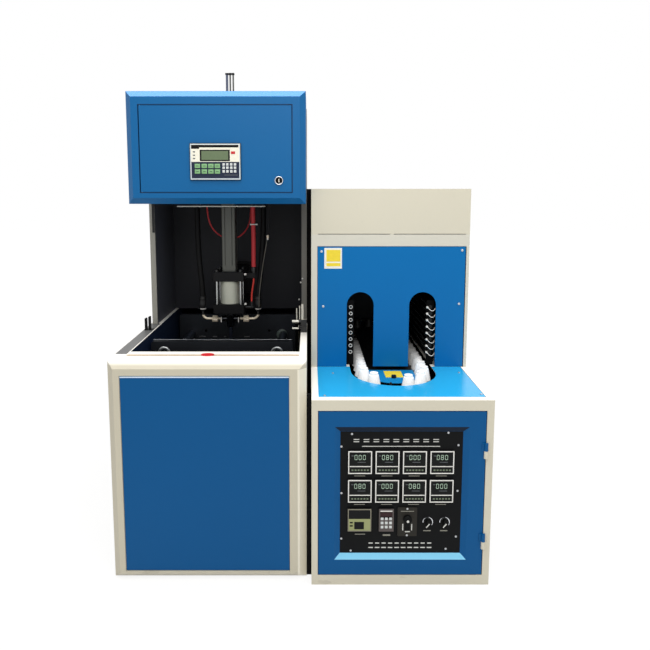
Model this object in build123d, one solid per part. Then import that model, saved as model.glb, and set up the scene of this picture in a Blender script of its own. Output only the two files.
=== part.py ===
"""Two-cabinet stretch blow moulding machine: a blowing unit on the left, a preform heating unit on the right.

Millimetres, +Z up, front towards -Y. The origin is on the floor at the middle of the overall width and depth.
"""

import os
from math import asin, cos, degrees, pi, radians, sin

from build123d import *

# Overall layout
unit_gap = 20.0
setback = 29.0
seal_depth = 15.0
hinge_proud = 12.0
sheet = 3.0
run_gap = 0.3
fit_gap = 0.05

# Blowing unit base
blower_width = 796.0
blower_depth = 1600.0
blower_height = 921.0
base_bevel = 28.0
rim_left = 55.0
rim_right = 30.0
rim_front = 155.0
rim_back = 40.0
skirt_depth = 250.0
groove_setback = 91.0
groove_width = 26.0
groove_depth = 5.0
front_panel_width = 672.0
front_panel_height = 824.0
front_panel_low = 40.0
front_panel_recess = 3.0
front_panel_shift = -7.5
panel_gap = 1.5
lip_width = 15.0

# Column and head
column_width = 784.0
column_setback = 671.0
column_depth = 400.0
column_wall = 26.0
column_top = 1990.0
lining_sheet = 2.0
head_width = 774.0
head_low = 1536.0
head_high = 2018.0
head_overhang = 370.0
head_bevel = 26.0
head_door_width = 652.0
head_door_height = 367.0
head_door_low = 1588.0
door_gap = 5.0
door_sheet = 2.0
door_flange = 14.0
ring_lip = 17.0

# Operator panel and lock
operator_width = 220.0
operator_height = 158.0
operator_proud = 8.0
operator_body_depth = 34.0
screen_width = 125.0
screen_height = 46.0
lock_radius = 18.5
plug_radius = 12.0
cam_length = 78.0
cam_width = 16.0
cam_sheet = 3.0
cam_clear = 1.5

# Stretch and sealing cylinders on the blow axis
axis_setback = 741.0
stretch_side = 71.0
stretch_low = 1185.0
stretch_high = 1690.0
stretch_cap = 30.0
rod_radius = 6.0
guide_top = 2174.0
yoke_top = 2172.0
yoke_thick = 7.0
guide_radius = 4.0
guide_offsets = (16.0, 31.0)
roof_hole = 45.0
stretch_stroke = 450.0
rod_tip = 800.0
seal_head_width = 159.0
seal_head_depth = 124.0
seal_head_height = 49.0
seal_barrel_height = 118.0
seal_barrel_radius = 48.5
seal_barrel_wall = 4.0
tie_rod_radius = 5.0
tie_rod_x = 60.0
tie_rod_y = 54.0
manifold_radius = 31.0
manifold_height = 77.0
port_height = 41.0
nozzle_radius = 9.6
nozzle_bore = 7.5
nozzle_low = 770.0
nozzle_stroke = 50.0

# Air fittings
nut_flats = 28.0
nut_inner = 68.0
nut_length = 25.0
pipe_radius = 6.5
elbow_reach = 143.0
feed_x = 122.0
tube_x = 110.0
cone_low = 38.0
cone_length = 60.0
cone_top_radius = 17.0
lead_x = 150.0
lead_y = 22.0
lead_low = 1002.0

# Mould clamp
well_width = blower_width - rim_left - rim_right
platen_width = well_width - 53.0
platen_thick = 40.0
platen_low = 420.0
platen_high = 894.0
platen_open = 280.0
clamp_stroke = 100.0
support_thick = 30.0
support_front = 300.0
support_high = 838.0
support_back = 1120.0
tie_bar_radius = 22.0
tie_bar_x = (well_width - 191.0) / 2
tie_bar_low = 520.0
tie_bar_high = 780.0
mould_bolt_x = tie_bar_x + 100.0
mould_bolt_z = 300.0
mould_bolt_radius = 7.0
clamp_bore_radius = 95.0
clamp_barrel_length = 230.0
clamp_cap_thick = 28.0
clamp_rod_radius = 25.0
end_plate_thick = 35.0
eye_radius = 22.0
eye_wire = 6.0
eye_spread = well_width / 2 - 102.5
eye_shift = 11.0

# Heating unit base and shelf
heater_width = 720.0
heater_depth = 1450.0
heater_height = 778.0
shelf_sheet = 2.0
shelf_inset = 28.0
shelf_front = 34.0
control_door_width = 661.0
control_door_height = 686.0
control_door_low = 45.0
control_door_left = 28.0
control_door_depth = 20.0
control_door_gap = 3.0
recess_width = 534.0
recess_height = 560.0
recess_bevel = 23.0
recess_depth = 12.0
panel_sheet = 3.0
knuckle_radius = 8.0
knuckle_length = 31.0
knuckle_heights = (571.0, 190.0)
hinge_pin_radius = 4.0
gear_setback = 260.0
gear_margin = 60.0
gear_height = 620.0
contactor_count = 8

# Control panel instruments
controller_side = 96.0
controller_bezel = 9.0
controller_body = 70.0
controller_pitch_x = 108.9
controller_pitch_z = 120.5
controller_shift = -2.1
controller_row = 519.5
third_row = 276.2
timer_width = 60.0
speed_plate_width = 78.0
speed_plate_height = 122.0
speed_knob_radius = 17.0
rocker_pivot = 3.0
rocker_drop = -22.0
speed_shift = 27.5
speed_drop = 9.2
selector_radius = 17.5
selector_shifts = (110.7, 178.5)
selector_drop = 11.2
spindle_radius = 3.0

# Oven
oven_setback = 432.0
oven_height = 1396.0
cover_height = 1602.0
plate_width = 675.0
plate_low = 780.0
plate_high = 1341.0
plate_left = 29.0
oven_shift = 9.0
slot_width = 124.0
slot_spacing = 287.0
slot_spring = 1069.0
loop_opening = 190.0
turn_setback = 352.0
seam_height = 3.0
seam_tab = 16.0

# Carrier chain, sprockets and preform holders
teeth = 11
chain_pitch = 77.5
straight_links = 11
chain_height = 722.0
link_sheet = 2.5
link_width = 20.0
roller_radius = 12.0
roller_height = 18.0
spindle_tip = 748.0
holder_base_radius = 31.0
holder_top_radius = 21.0
holder_height = 60.0
bare_angle = -12.0
cover_radius = 103.0
cover_level = 762.0

# Lamps
lamp_count = 8
lamp_pitch = 30.5
lamp_low = 842.0
lamp_offset = 185.0
lamp_radius = 5.5
lamp_length = 700.0
lamp_cap_radius = 9.0
lamp_cap_length = 26.0
rack_depth = 30.0

# Positions worked out from the sizes above
total_width = blower_width + unit_gap + heater_width
blower_x0 = -total_width / 2
blower_x1 = blower_x0 + blower_width
heater_x0 = blower_x1 + unit_gap
heater_x1 = heater_x0 + heater_width
total_depth = hinge_proud + setback + blower_depth
heater_y0 = -total_depth / 2 + hinge_proud
heater_y1 = heater_y0 + heater_depth
blower_y0 = heater_y0 + setback
blower_y1 = blower_y0 + blower_depth
axis_x = (blower_x0 + blower_x1) / 2
axis_y = blower_y0 + axis_setback
column_y0 = blower_y0 + column_setback
column_y1 = column_y0 + column_depth
column_x0 = axis_x + 4 - column_width / 2
column_x1 = column_x0 + column_width
head_y0 = column_y0 - head_overhang
head_x = axis_x + 7
seal_low = stretch_low - 2 * seal_head_height - seal_barrel_height
manifold_low = seal_low - manifold_height
port_level = manifold_low + port_height
oven_x = (heater_x0 + heater_x1) / 2 + oven_shift
oven_y0 = heater_y0 + oven_setback
turn_y = heater_y0 + turn_setback
chain_radius = chain_pitch / (2 * sin(pi / teeth))
straight = straight_links * chain_pitch
door_x0 = heater_x0 + control_door_left
door_x = door_x0 + control_door_width / 2
door_z = control_door_low + control_door_height / 2

nodes = {}


def slab(x, y, z):
    """A block between the low and high value of each axis."""
    centre = [(low + high) / 2 for low, high in (x, y, z)]
    size = [high - low for low, high in (x, y, z)]
    return Pos(*centre) * Box(*size)


def bar(radius, start, end):
    """A round bar between two points."""
    start, end = Vector(*start), Vector(*end)
    return Solid.make_cylinder(radius, (end - start).length, Plane(start, z_dir=end - start))


def upright(radius, x, y, low, high):
    return bar(radius, (x, y, low), (x, y, high))


def tapered(low_radius, high_radius, x, y, low, high):
    return Solid.make_cone(low_radius, high_radius, high - low, Plane((x, y, low)))


def framed_case(x, y, z, bevel):
    """A case whose front face has a bevel on all four edges."""
    case = slab(x, y, z)
    return chamfer(case.faces().sort_by(Axis.Y)[0].edges(), bevel)


def hollow_case(x, y, z, bevel, wall):
    """The same case as a shell of one wall thickness."""
    inner = [(low + wall, high - wall) for low, high in (x, y, z)]
    return framed_case(x, y, z, bevel) - framed_case(*inner, bevel - wall * (2 - 2 ** 0.5))


def hex_bar(flats, start, end):
    start, end = Vector(*start), Vector(*end)
    outline = Plane(start, z_dir=end - start) * RegularPolygon(flats / 2, 6, major_radius=False)
    return extrude(outline, (end - start).length)


def hose(radius, points):
    """A round hose through a hand-chosen route with arcs as large as its runs allow."""
    points = [Vector(*point) for point in points]
    runs = [b - a for a, b in zip(points, points[1:])]
    radii = []
    for before, after in zip(runs, runs[1:]):
        turn = radians(before.get_angle(after))
        radii.append(0.45 * min(before.length, after.length) / sin(turn / 2) * cos(turn / 2))
    path = FilletPolyline(*points, radius=radii)
    section = Plane(path @ 0, z_dir=path % 0) * Circle(radius)
    tube = sweep(section, path)
    print("hose", round(path.length, 1), "least bend radius", round(min(radii), 1),
          "volume share", round(tube.volume / (pi * radius ** 2 * path.length), 4))
    return tube


# Blowing unit base
def blower_frame():
    x, y, z = (blower_x0, blower_x1), (blower_y0, blower_y1), (0, blower_height)
    frame = hollow_case(x, y, z, base_bevel, sheet)
    well_x = (blower_x0 + rim_left, blower_x1 - rim_right)
    well_y = (blower_y0 + rim_front, blower_y1 - rim_back)
    frame -= slab(well_x, well_y, (blower_height - 2 * sheet, blower_height + sheet))
    outer_x = (well_x[0] - sheet, well_x[1] + sheet)
    outer_y = (well_y[0] - sheet, well_y[1] + sheet)
    skirt_z = (blower_height - skirt_depth, blower_height - sheet)
    frame += slab(outer_x, outer_y, skirt_z) - slab(well_x, well_y, skirt_z)
    groove_y = blower_y0 + groove_setback
    groove_x = (blower_x0 + rim_left, blower_x1 - rim_right)
    groove_z = (blower_height - groove_depth, blower_height)
    trough = slab(groove_x, (groove_y, groove_y + groove_width), groove_z)
    backing = slab((groove_x[0] - sheet, groove_x[1] + sheet),
                   (groove_y - sheet, groove_y + groove_width + sheet),
                   (groove_z[0] - sheet, blower_height - sheet))
    frame = frame + backing - trough
    half, middle = front_panel_width / 2, axis_x + front_panel_shift
    window_x = (middle - half - panel_gap, middle + half + panel_gap)
    window_z = (front_panel_low - panel_gap, front_panel_low + front_panel_height + panel_gap)
    seat = front_panel_recess + sheet
    frame += slab((window_x[0] - sheet, window_x[1] + sheet), (blower_y0 + sheet, blower_y0 + seat + sheet),
                  (window_z[0] - sheet, window_z[1] + sheet))
    frame -= slab(window_x, (blower_y0 - sheet, blower_y0 + seat), window_z)
    return frame - slab((window_x[0] + lip_width, window_x[1] - lip_width),
                        (blower_y0, blower_y0 + 4 * sheet), (window_z[0] + lip_width, window_z[1] - lip_width))


def blower_front_panel():
    """A fixed cover panel with softened edges, seated on the lip of the frame's window."""
    half, middle = front_panel_width / 2, axis_x + front_panel_shift
    face_y = blower_y0 + front_panel_recess
    panel = slab((middle - half, middle + half), (face_y, face_y + sheet),
                 (front_panel_low, front_panel_low + front_panel_height))
    return fillet(panel.faces().sort_by(Axis.Y)[0].edges(), sheet / 2)


def clamp_cover():
    """The lift-off lid over the clamp, a pan with its edges turned down into the opening."""
    overlap = 12.0
    rise = 22.0
    x = (blower_x0 + rim_left - overlap, blower_x1 - rim_right + overlap)
    y = (column_y1 + run_gap, blower_y1 - rim_back + overlap)
    lid = slab(x, y, (blower_height, blower_height + rise))
    lid = fillet(lid.edges().filter_by(Axis.Z), overlap / 2)
    inner = [(low + sheet, high - sheet) for low, high in (x, y)]
    lid -= slab(*inner, (blower_height - sheet, blower_height + rise - sheet))
    for side in (-1, 1):
        pull_x = (x[0] + x[1]) / 2
        pull_y = (y[0] + y[1]) / 2 + side * (y[1] - y[0]) / 3
        lid -= slab((pull_x - 2 * lip_width, pull_x + 2 * lip_width), (pull_y - lip_width / 2, pull_y + lip_width / 2),
                    (blower_height, blower_height + 2 * rise))
    return lid


def cabinet_seal():
    """The black rubber profile that closes the gap between both units: low down at the front, then beside the column."""
    low_y = blower_y0 + base_bevel + 2 * sheet
    high_y = column_y0 + 6 * sheet
    gap_x = (blower_x1, heater_x0)
    seal = slab(gap_x, (low_y, low_y + seal_depth), (0, heater_height))
    upper = slab(gap_x, (high_y, high_y + seal_depth), (0, cover_height))
    upper += slab((column_x1, heater_x0), (high_y, high_y + seal_depth), (blower_height, cover_height))
    return Compound([seal, upper])


# Column, bay and head
def upper_frame():
    x, y, z = (column_x0, column_x1), (column_y0, column_y1), (blower_height, column_top)
    frame = slab(x, y, z)
    inside_x = (column_x0 + column_wall, column_x1 - column_wall)
    frame -= slab(inside_x, (column_y0 - sheet, column_y1 - sheet), (blower_height - sheet, column_top - sheet))
    frame -= slab((axis_x - roof_hole, axis_x + roof_hole), (axis_y - roof_hole, axis_y + roof_hole), (column_top - 2 * sheet, column_top + sheet))
    for wall_x in ((column_x0 + sheet, inside_x[0] - sheet), (inside_x[1] + sheet, column_x1 - sheet)):
        frame -= slab(wall_x, (column_y0 + sheet, column_y1 - sheet), (blower_height + sheet, column_top - sheet))
    return frame


def bay_lining():
    """The dark inner skin of the bay: two sides, the back in two sheets with an open seam, and the ceiling."""
    inside_x = (column_x0 + column_wall, column_x1 - column_wall)
    inside_y = (column_y0 + sheet, column_y1 - sheet)
    seam_level = 1200.0
    skin = slab(inside_x, inside_y, (blower_height, head_low))
    skin -= slab((inside_x[0] + lining_sheet, inside_x[1] - lining_sheet),
                 (column_y0 - sheet, inside_y[1] - lining_sheet), (0, head_low - lining_sheet))
    skin -= slab((inside_x[0] + lining_sheet, inside_x[1] - lining_sheet),
                 (inside_y[1] - lining_sheet, inside_y[1] - lining_sheet / 2), (seam_level, seam_level + lining_sheet))
    hole = stretch_side / 2 + run_gap
    return skin - slab((axis_x - hole, axis_x + hole), (axis_y - hole, axis_y + hole), (head_low - sheet, head_low + sheet))


def head_window():
    half = head_door_width / 2
    return ((head_x - half - door_gap, head_x + half + door_gap),
            (head_door_low - door_gap, head_door_low + head_door_height + door_gap))


def head_box():
    x = (head_x - head_width / 2, head_x + head_width / 2)
    y, z = (head_y0, column_y0), (head_low, head_high)
    case = hollow_case(x, y, z, head_bevel, sheet)
    window_x, window_z = head_window()
    lip_x = (window_x[1] - sheet, window_x[1] + sheet)
    case += slab((window_x[1], window_x[1] + sheet), (head_y0, head_y0 + ring_lip), window_z)
    case -= slab(window_x, (head_y0 - sheet, head_y0 + sheet), window_z)
    pivot_x, pivot_y = head_pivot()
    for level, way in ((window_z[0], -1), (window_z[1], 1)):
        lug_z = sorted((level, level + way * 4 * sheet))
        lug = slab((pivot_x - 2 * sheet, pivot_x + 2 * sheet), (head_y0 + sheet / 2, pivot_y + 2 * sheet), lug_z)
        case += lug
        case -= upright(pin_radius() + fit_gap, pivot_x, pivot_y, lug_z[0] - sheet, lug_z[1] + sheet)
    return case


def pin_radius():
    return door_sheet


def head_pivot():
    """The vertical axis of the head door, just inside its left edge and behind its face."""
    return head_x - head_door_width / 2 + 2 * door_sheet, head_y0 + 2 * door_sheet


def head_door():
    half = head_door_width / 2
    low, high = head_door_low, head_door_low + head_door_height
    door = slab((head_x - half, head_x + half), (head_y0, head_y0 + door_sheet), (low, high))
    flange_x = (head_x - half + 15 * door_sheet, head_x + half)
    turned = slab(flange_x, (head_y0 + door_sheet, head_y0 + door_flange), (low, high))
    turned -= slab((flange_x[0] - door_sheet, flange_x[1] - door_sheet), (head_y0, head_y0 + 2 * door_flange),
                   (low + door_sheet, high - door_sheet))
    pivot_x, pivot_y = head_pivot()
    door += turned
    for end_z in ((low, low + 12 * door_sheet), (high - 12 * door_sheet, high)):
        door += upright(2 * door_sheet, pivot_x, pivot_y, *end_z)
    body_x, body_z = operator_body()
    door -= slab(body_x, (head_y0 - sheet, head_y0 + 2 * sheet), body_z)
    lock_x, lock_z = lock_place()
    door -= bar(plug_radius + 2 * run_gap, (lock_x, head_y0 - sheet, lock_z), (lock_x, head_y0 + 2 * sheet, lock_z))
    return door - upright(pin_radius() + fit_gap, pivot_x, pivot_y, low - sheet, high + sheet)


def operator_place():
    return head_x - 1.0, 1717.0


def operator_body(clearance=0.0):
    place_x, place_z = operator_place()
    half_x = operator_width / 2 - 2 * lip_width / 3 - clearance
    half_z = operator_height / 2 - 2 * lip_width / 3 - clearance
    return (place_x - half_x, place_x + half_x), (place_z - half_z, place_z + half_z)


def operator_panel():
    place_x, place_z = operator_place()
    half_x, half_z = operator_width / 2, operator_height / 2
    bezel = slab((place_x - half_x, place_x + half_x), (head_y0 - operator_proud, head_y0), (place_z - half_z, place_z + half_z))
    bezel = fillet(bezel.edges().filter_by(Axis.Y), operator_proud / 2)
    bezel = chamfer(bezel.faces().sort_by(Axis.Y)[0].edges(), operator_proud / 4)
    body_x, body_z = operator_body(run_gap)
    bezel += slab(body_x, (head_y0, head_y0 + operator_body_depth), body_z)
    screen_z = place_z + half_z - 2 * screen_height / 3
    return bezel - slab((place_x - screen_width / 2, place_x + screen_width / 2),
                        (head_y0 - 2 * operator_proud, head_y0 - operator_proud + door_sheet),
                        (screen_z - screen_height / 2, screen_z + screen_height / 2))


def lock_place():
    return head_x + head_door_width / 2 - 55.0, 1637.0


def lock_ring():
    """The chromed bezel, the barrel through the door and its nut behind."""
    x, z = lock_place()
    front = head_y0 - 2 * door_sheet
    ring = Pos(x, 0, z) * bar(lock_radius, (0, front, 0), (0, head_y0, 0))
    ring = chamfer(ring.faces().sort_by(Axis.Y)[0].edges(), door_sheet)
    ring += bar(plug_radius + run_gap, (x, head_y0, z), (x, head_y0 + ring_lip, z))
    ring += hex_bar(2.6 * plug_radius, (x, head_y0 + door_sheet, z), (x, head_y0 + 4 * door_sheet, z))
    return ring - bar(plug_radius - 2 * door_sheet + fit_gap, (x, front - sheet, z), (x, head_y0 + 2 * ring_lip, z))


def lock_plug():
    """The turning plug with its key slot, and the cam that its tail carries."""
    x, z = lock_place()
    front = head_y0 - 2 * door_sheet
    plug = bar(plug_radius - 2 * door_sheet, (x, front, z), (x, head_y0 + ring_lip + cam_clear + cam_sheet, z))
    plug -= slab((x - door_sheet / 2, x + door_sheet / 2), (front - sheet, front + sheet), (z - 2 * door_sheet, z + 2 * door_sheet))
    cam_y = head_y0 + ring_lip + cam_clear
    cam = slab((x - cam_width / 2, x + cam_width / 2), (cam_y, cam_y + cam_sheet), (z - cam_width / 2, z + cam_length - cam_width / 2))
    cam = fillet(cam.edges().filter_by(Axis.Y), cam_width / 3)
    return plug + cam


def hinge_pins():
    """The fixed pins of both doors: two in the head, two in the welded knuckles of the heating unit."""
    pivot_x, pivot_y = head_pivot()
    window_z = head_window()[1]
    pins = []
    for level, way in ((window_z[0], 1), (window_z[1], -1)):
        reach = sorted((level - way * 4 * sheet, level + way * (door_gap + 8 * door_sheet)))
        pins.append(upright(pin_radius(), pivot_x, pivot_y, *reach))
    knuckle_x, knuckle_y = control_pivot()
    for level in knuckle_heights:
        pins.append(upright(hinge_pin_radius, knuckle_x, knuckle_y, level - knuckle_length, level + 0.8 * knuckle_length))
    return Compound(pins)


def head_control_gear():
    """The mounting plate at the back of the head with its controller, power supply, relays and terminals."""
    back = column_y0 - 4 * sheet
    plate_x = (head_x - head_door_width / 2, head_x + head_door_width / 2)
    plate = slab(plate_x, (back, back + sheet), (head_door_low, head_door_low + head_door_height))
    for level in (head_door_low + 40, head_door_low + head_door_height - 60):
        plate += slab(plate_x, (back + sheet, column_y0 - sheet), (level, level + 20))
    pieces = [plate]
    for left, wide, low, high, deep in ((30, 130, 220, 310, 80), (180, 90, 220, 330, 110), (300, 110, 220, 320, 60)):
        pieces.append(slab((plate_x[0] + left, plate_x[0] + left + wide), (back - deep, back),
                           (head_door_low + low, head_door_low + high)))
    for number in range(8):
        left = plate_x[0] + 60 + 62 * number
        relay = slab((left, left + 28), (back - 62, back), (head_door_low + 90, head_door_low + 160))
        pieces.append(chamfer(relay.faces().sort_by(Axis.Y)[0].edges(), 5))
    return pieces


# Stretch and sealing cylinders
def stretch_cylinder():
    """A square profile barrel with slots along its sides, between two caps, and two guide rods beside the rod on top."""
    half = stretch_side / 2
    profile = RectangleRounded(stretch_side, stretch_side, half / 4)
    for turn in range(4):
        for side in (-1, 1):
            profile -= Rot(0, 0, 90 * turn) * Pos(half - 3, side * half / 2, 0) * Rectangle(10, 5)
    barrel = extrude(profile, stretch_high - stretch_low - 2 * stretch_cap)
    barrel = Pos(axis_x, axis_y, stretch_low + stretch_cap) * barrel
    cap = extrude(RectangleRounded(stretch_side, stretch_side, half / 5), stretch_cap)
    for level in (stretch_low, stretch_high - stretch_cap):
        barrel += Pos(axis_x, axis_y, level) * cap
    for offset in guide_offsets:
        barrel += upright(guide_radius, axis_x + offset, axis_y, stretch_high, guide_top)
    return barrel - upright(rod_radius + fit_gap, axis_x, axis_y, stretch_low - sheet, stretch_high + sheet)


def stretch_rod():
    return upright(rod_radius, axis_x, axis_y, rod_tip, yoke_top - yoke_thick)


def stretch_yoke():
    """The yoke on the stretch rod, which slides along the two guide rods and keeps it from turning."""
    reach = max(guide_offsets) + guide_radius + 2
    yoke = slab((axis_x - rod_radius - 2, axis_x + reach), (axis_y - 9, axis_y + 9), (yoke_top - yoke_thick, yoke_top))
    yoke = fillet(yoke.edges().filter_by(Axis.Z), 3)
    for offset in guide_offsets:
        yoke -= upright(guide_radius + fit_gap, axis_x + offset, axis_y, yoke_top - 20, yoke_top + 1)
    return yoke


def seal_head(level):
    half_x, half_y = seal_head_width / 2, seal_head_depth / 2
    head = slab((axis_x - half_x, axis_x + half_x), (axis_y - half_y, axis_y + half_y), (level, level + seal_head_height))
    head = fillet(head.edges().filter_by(Axis.Z), 8)
    head = chamfer(head.faces().sort_by(Axis.Z)[0].edges() + head.faces().sort_by(Axis.Z)[-1].edges(), 2)
    return head


def seal_cylinder_heads():
    """The lower and upper heads, bored for the nozzle tube and drilled for the tie rods."""
    heads = [seal_head(seal_low), seal_head(seal_low + seal_head_height + seal_barrel_height)]
    heads[1] += slab((axis_x + seal_head_width / 2 - 2, axis_x + feed_x + 9), (axis_y - 12, axis_y + 12),
                     (stretch_low - 38, stretch_low - 12))
    drilled = []
    for head in heads:
        head -= upright(nozzle_radius + fit_gap, axis_x, axis_y, seal_low - 1, stretch_low + 1)
        for x, y in tie_rod_places():
            head -= upright(tie_rod_radius, x, y, seal_low - 1, stretch_low + 1)
        drilled.append(head)
    return Compound(drilled)


def tie_rod_places():
    return [(axis_x + a * tie_rod_x, axis_y + b * tie_rod_y) for a in (-1, 1) for b in (-1, 1)]


def seal_tie_rods():
    nut = 4 * sheet
    rods = []
    for x, y in tie_rod_places():
        rod = upright(tie_rod_radius, x, y, seal_low, stretch_low + nut)
        rod += hex_bar(3.2 * tie_rod_radius, (x, y, stretch_low), (x, y, stretch_low + 0.8 * nut))
        rods.append(rod)
    return Compound(rods)


def seal_cylinder_barrel():
    low = seal_low + seal_head_height
    barrel = upright(seal_barrel_radius, axis_x, axis_y, low, low + seal_barrel_height)
    return barrel - upright(seal_barrel_radius - seal_barrel_wall, axis_x, axis_y, low - 1, low + seal_barrel_height + 1)


def blow_nozzle():
    """The hollow rod with its piston in the sealing cylinder and the cone that seals on the preform."""
    top = seal_low + seal_head_height + seal_barrel_height + seal_head_height / 2
    piston_top = seal_low + seal_head_height + seal_barrel_height - run_gap
    piston = seal_barrel_height / 4
    nozzle = upright(nozzle_radius, axis_x, axis_y, nozzle_low + 2 * nozzle_radius, top)
    nozzle += upright(seal_barrel_radius - seal_barrel_wall - fit_gap, axis_x, axis_y, piston_top - piston, piston_top)
    nozzle += tapered(0.8 * nozzle_radius, 1.7 * nozzle_radius, axis_x, axis_y, nozzle_low, nozzle_low + 2 * nozzle_radius)
    nozzle += upright(1.7 * nozzle_radius, axis_x, axis_y, nozzle_low + 2 * nozzle_radius, nozzle_low + 3 * nozzle_radius)
    return nozzle - upright(rod_radius + fit_gap, axis_x, axis_y, nozzle_low - 1, top + 1)


def cylinder_bracket():
    """Two arms and a back plate that carry the sealing cylinder from the rear of the bay."""
    back = column_y1 - sheet - lining_sheet
    half = seal_head_width / 2
    plate = slab((axis_x - half, axis_x + half), (back - 4 * sheet, back), (seal_low - 10, stretch_low + 10))
    arms = plate
    for level in (seal_low + 5, stretch_low - seal_head_height + 5):
        arms += slab((axis_x - half + 12, axis_x + half - 12), (axis_y + seal_head_depth / 2, back - 2 * sheet),
                     (level, level + seal_head_height - 10))
    gusset = seal_head_height / 2
    return arms + slab((axis_x - sheet, axis_x + sheet), (back - 60, back - 2 * sheet), (seal_low + gusset, stretch_low - gusset))


def blow_manifold():
    """A turned body with a flange above and a threaded port boss on each side."""
    low, high = manifold_low, seal_low
    body = upright(manifold_radius, axis_x, axis_y, high - 14, high)
    body += tapered(0.62 * manifold_radius, 0.8 * manifold_radius, axis_x, axis_y, low, high - 14)
    body += bar(15, (axis_x - 48, axis_y, port_level), (axis_x + 48, axis_y, port_level))
    for side in (-1, 1):
        body += hex_bar(nut_flats, (axis_x + side * 36, axis_y, port_level), (axis_x + side * 48, axis_y, port_level))
    return body - upright(nozzle_radius + fit_gap, axis_x, axis_y, low - 1, high + 1)


def air_fitting(side):
    """A union nut, its bent pipe and the flared hose tail that it rises to."""
    inner = axis_x + side * 48
    pipe_end = axis_x + side * elbow_reach
    bend = 26.0
    path = FilletPolyline((inner, axis_y, port_level), (pipe_end, axis_y, port_level),
                          (pipe_end, axis_y, port_level + cone_low + 2), radius=bend)
    pipe = sweep(Plane(path @ 0, z_dir=path % 0) * Circle(pipe_radius), path)
    nut = hex_bar(nut_flats, (axis_x + side * nut_inner, axis_y, port_level), (axis_x + side * (nut_inner + nut_length), axis_y, port_level))
    cone_z = port_level + cone_low
    tail = tapered(pipe_radius + 2, cone_top_radius, pipe_end, axis_y, cone_z, cone_z + 0.6 * cone_length)
    tail += upright(cone_top_radius, pipe_end, axis_y, cone_z + 0.6 * cone_length, cone_z + cone_length)
    return pipe + nut + tail


def air_fittings():
    """Both flared fittings, the elbow of the feed hose, the elbow of the small tube and the lead's clip."""
    feed = bar(11, (axis_x + feed_x, axis_y, stretch_low - 25), (axis_x + feed_x, axis_y, stretch_low + 8))
    feed -= slab((axis_x, axis_x + feed_x + 9), (axis_y - 12, axis_y + 12), (stretch_low - 38, stretch_low - 12))
    low_end = seal_low + seal_head_height / 2
    small = bar(8, (axis_x + seal_head_width / 2, axis_y, low_end), (axis_x + tube_x + 8, axis_y, low_end))
    small += upright(8, axis_x + tube_x, axis_y, low_end, low_end + 30)
    right = air_fitting(1) + upright(4, axis_x + lead_x, axis_y - lead_y, lead_low - 12, lead_low)
    right += slab((axis_x + lead_x - 4, axis_x + lead_x), (axis_y - lead_y, axis_y - 8), (lead_low - 10, lead_low - 2))
    return Compound([air_fitting(-1), right, feed, small])


def beside_axis(route):
    """A route given as the distance right of the blow axis, behind it, and the height."""
    return [(axis_x + right, axis_y + behind, level) for right, behind, level in route]


# Hoses of the bay, each on its own route between two fixed ends
hose_top = head_low - lining_sheet
fitting_top = port_level + cone_low + cone_length
tube_low = seal_low + seal_head_height / 2 + 30
left_blow_route = [(-143, 0, fitting_top), (-143, 0, 1075), (-150, 6, 1150), (-160, 16, 1240),
                   (-166, 24, 1340), (-168, 28, 1440), (-168, 28, hose_top)]
right_blow_route = [(143, 0, fitting_top), (143, 0, 1075), (155, 12, 1150), (162, 20, 1240),
                    (169, 28, 1340), (172, 34, 1440), (172, 34, hose_top)]
red_loop_route = [(-120, 46, hose_top), (-120, 46, 1480), (-107, 54, 1416), (-76, 63, 1372),
                  (-34, 68, 1347), (16, 68, 1342), (62, 64, 1366), (94, 56, 1412),
                  (107, 48, 1474), (107, 48, hose_top)]
red_feed_route = [(feed_x, 0, stretch_low + 8), (feed_x, 0, 1262), (feed_x + 1, 4, 1350),
                  (feed_x - 1, 5, 1440), (feed_x - 1, 5, hose_top)]
red_tube_route = [(tube_x, 0, tube_low), (tube_x, 0, 1056), (115, 0, 1094), (feed_x, 0, 1130),
                  (feed_x, 0, stretch_low - 38)]
lead_route = [(lead_x, -lead_y, lead_low), (lead_x, -lead_y, 1050), (156, -20, 1105), (163, -18, 1160),
              (171, -16, 1215), (180, -13, 1270), (190, -10, 1325), (199, -7, 1380), (204, -5, 1435),
              (206, -4, 1488), (206, -4, hose_top)]
hoses = {
    "left_blow_hose": (14.0, left_blow_route),
    "right_blow_hose": (14.0, right_blow_route),
    "red_loop_hose": (4.0, red_loop_route),
    "red_feed_hose": (11.5, red_feed_route),
    "red_air_tube": (4.5, red_tube_route),
    "grey_lead": (2.0, lead_route),
}


# Mould clamp in the well
def tie_bar_places():
    return [(axis_x + side * tie_bar_x, level) for side in (-1, 1) for level in (tie_bar_low, tie_bar_high)]


def plate_on_axis(width, front, back, low, high, corner):
    plate = slab((axis_x - width / 2, axis_x + width / 2), (front, back), (low, high))
    return fillet(plate.edges().filter_by(Axis.Y), corner)


def bored(plate, radius):
    for x, level in tie_bar_places():
        plate -= bar(radius, (x, blower_y0, level), (x, blower_y1, level))
    return plate


def mould_holes(plate):
    for a in (-1, 1):
        for b in (-1, 1):
            x, level = axis_x + a * mould_bolt_x / 2, (tie_bar_low + tie_bar_high) / 2 + b * mould_bolt_z / 2
            plate -= bar(mould_bolt_radius, (x, blower_y0, level), (x, blower_y1, level))
    return plate


def front_platen():
    back = axis_y - platen_open
    plate = plate_on_axis(platen_width, back - platen_thick, back, platen_low, platen_high, 12)
    return mould_holes(bored(plate, tie_bar_radius))


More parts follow.
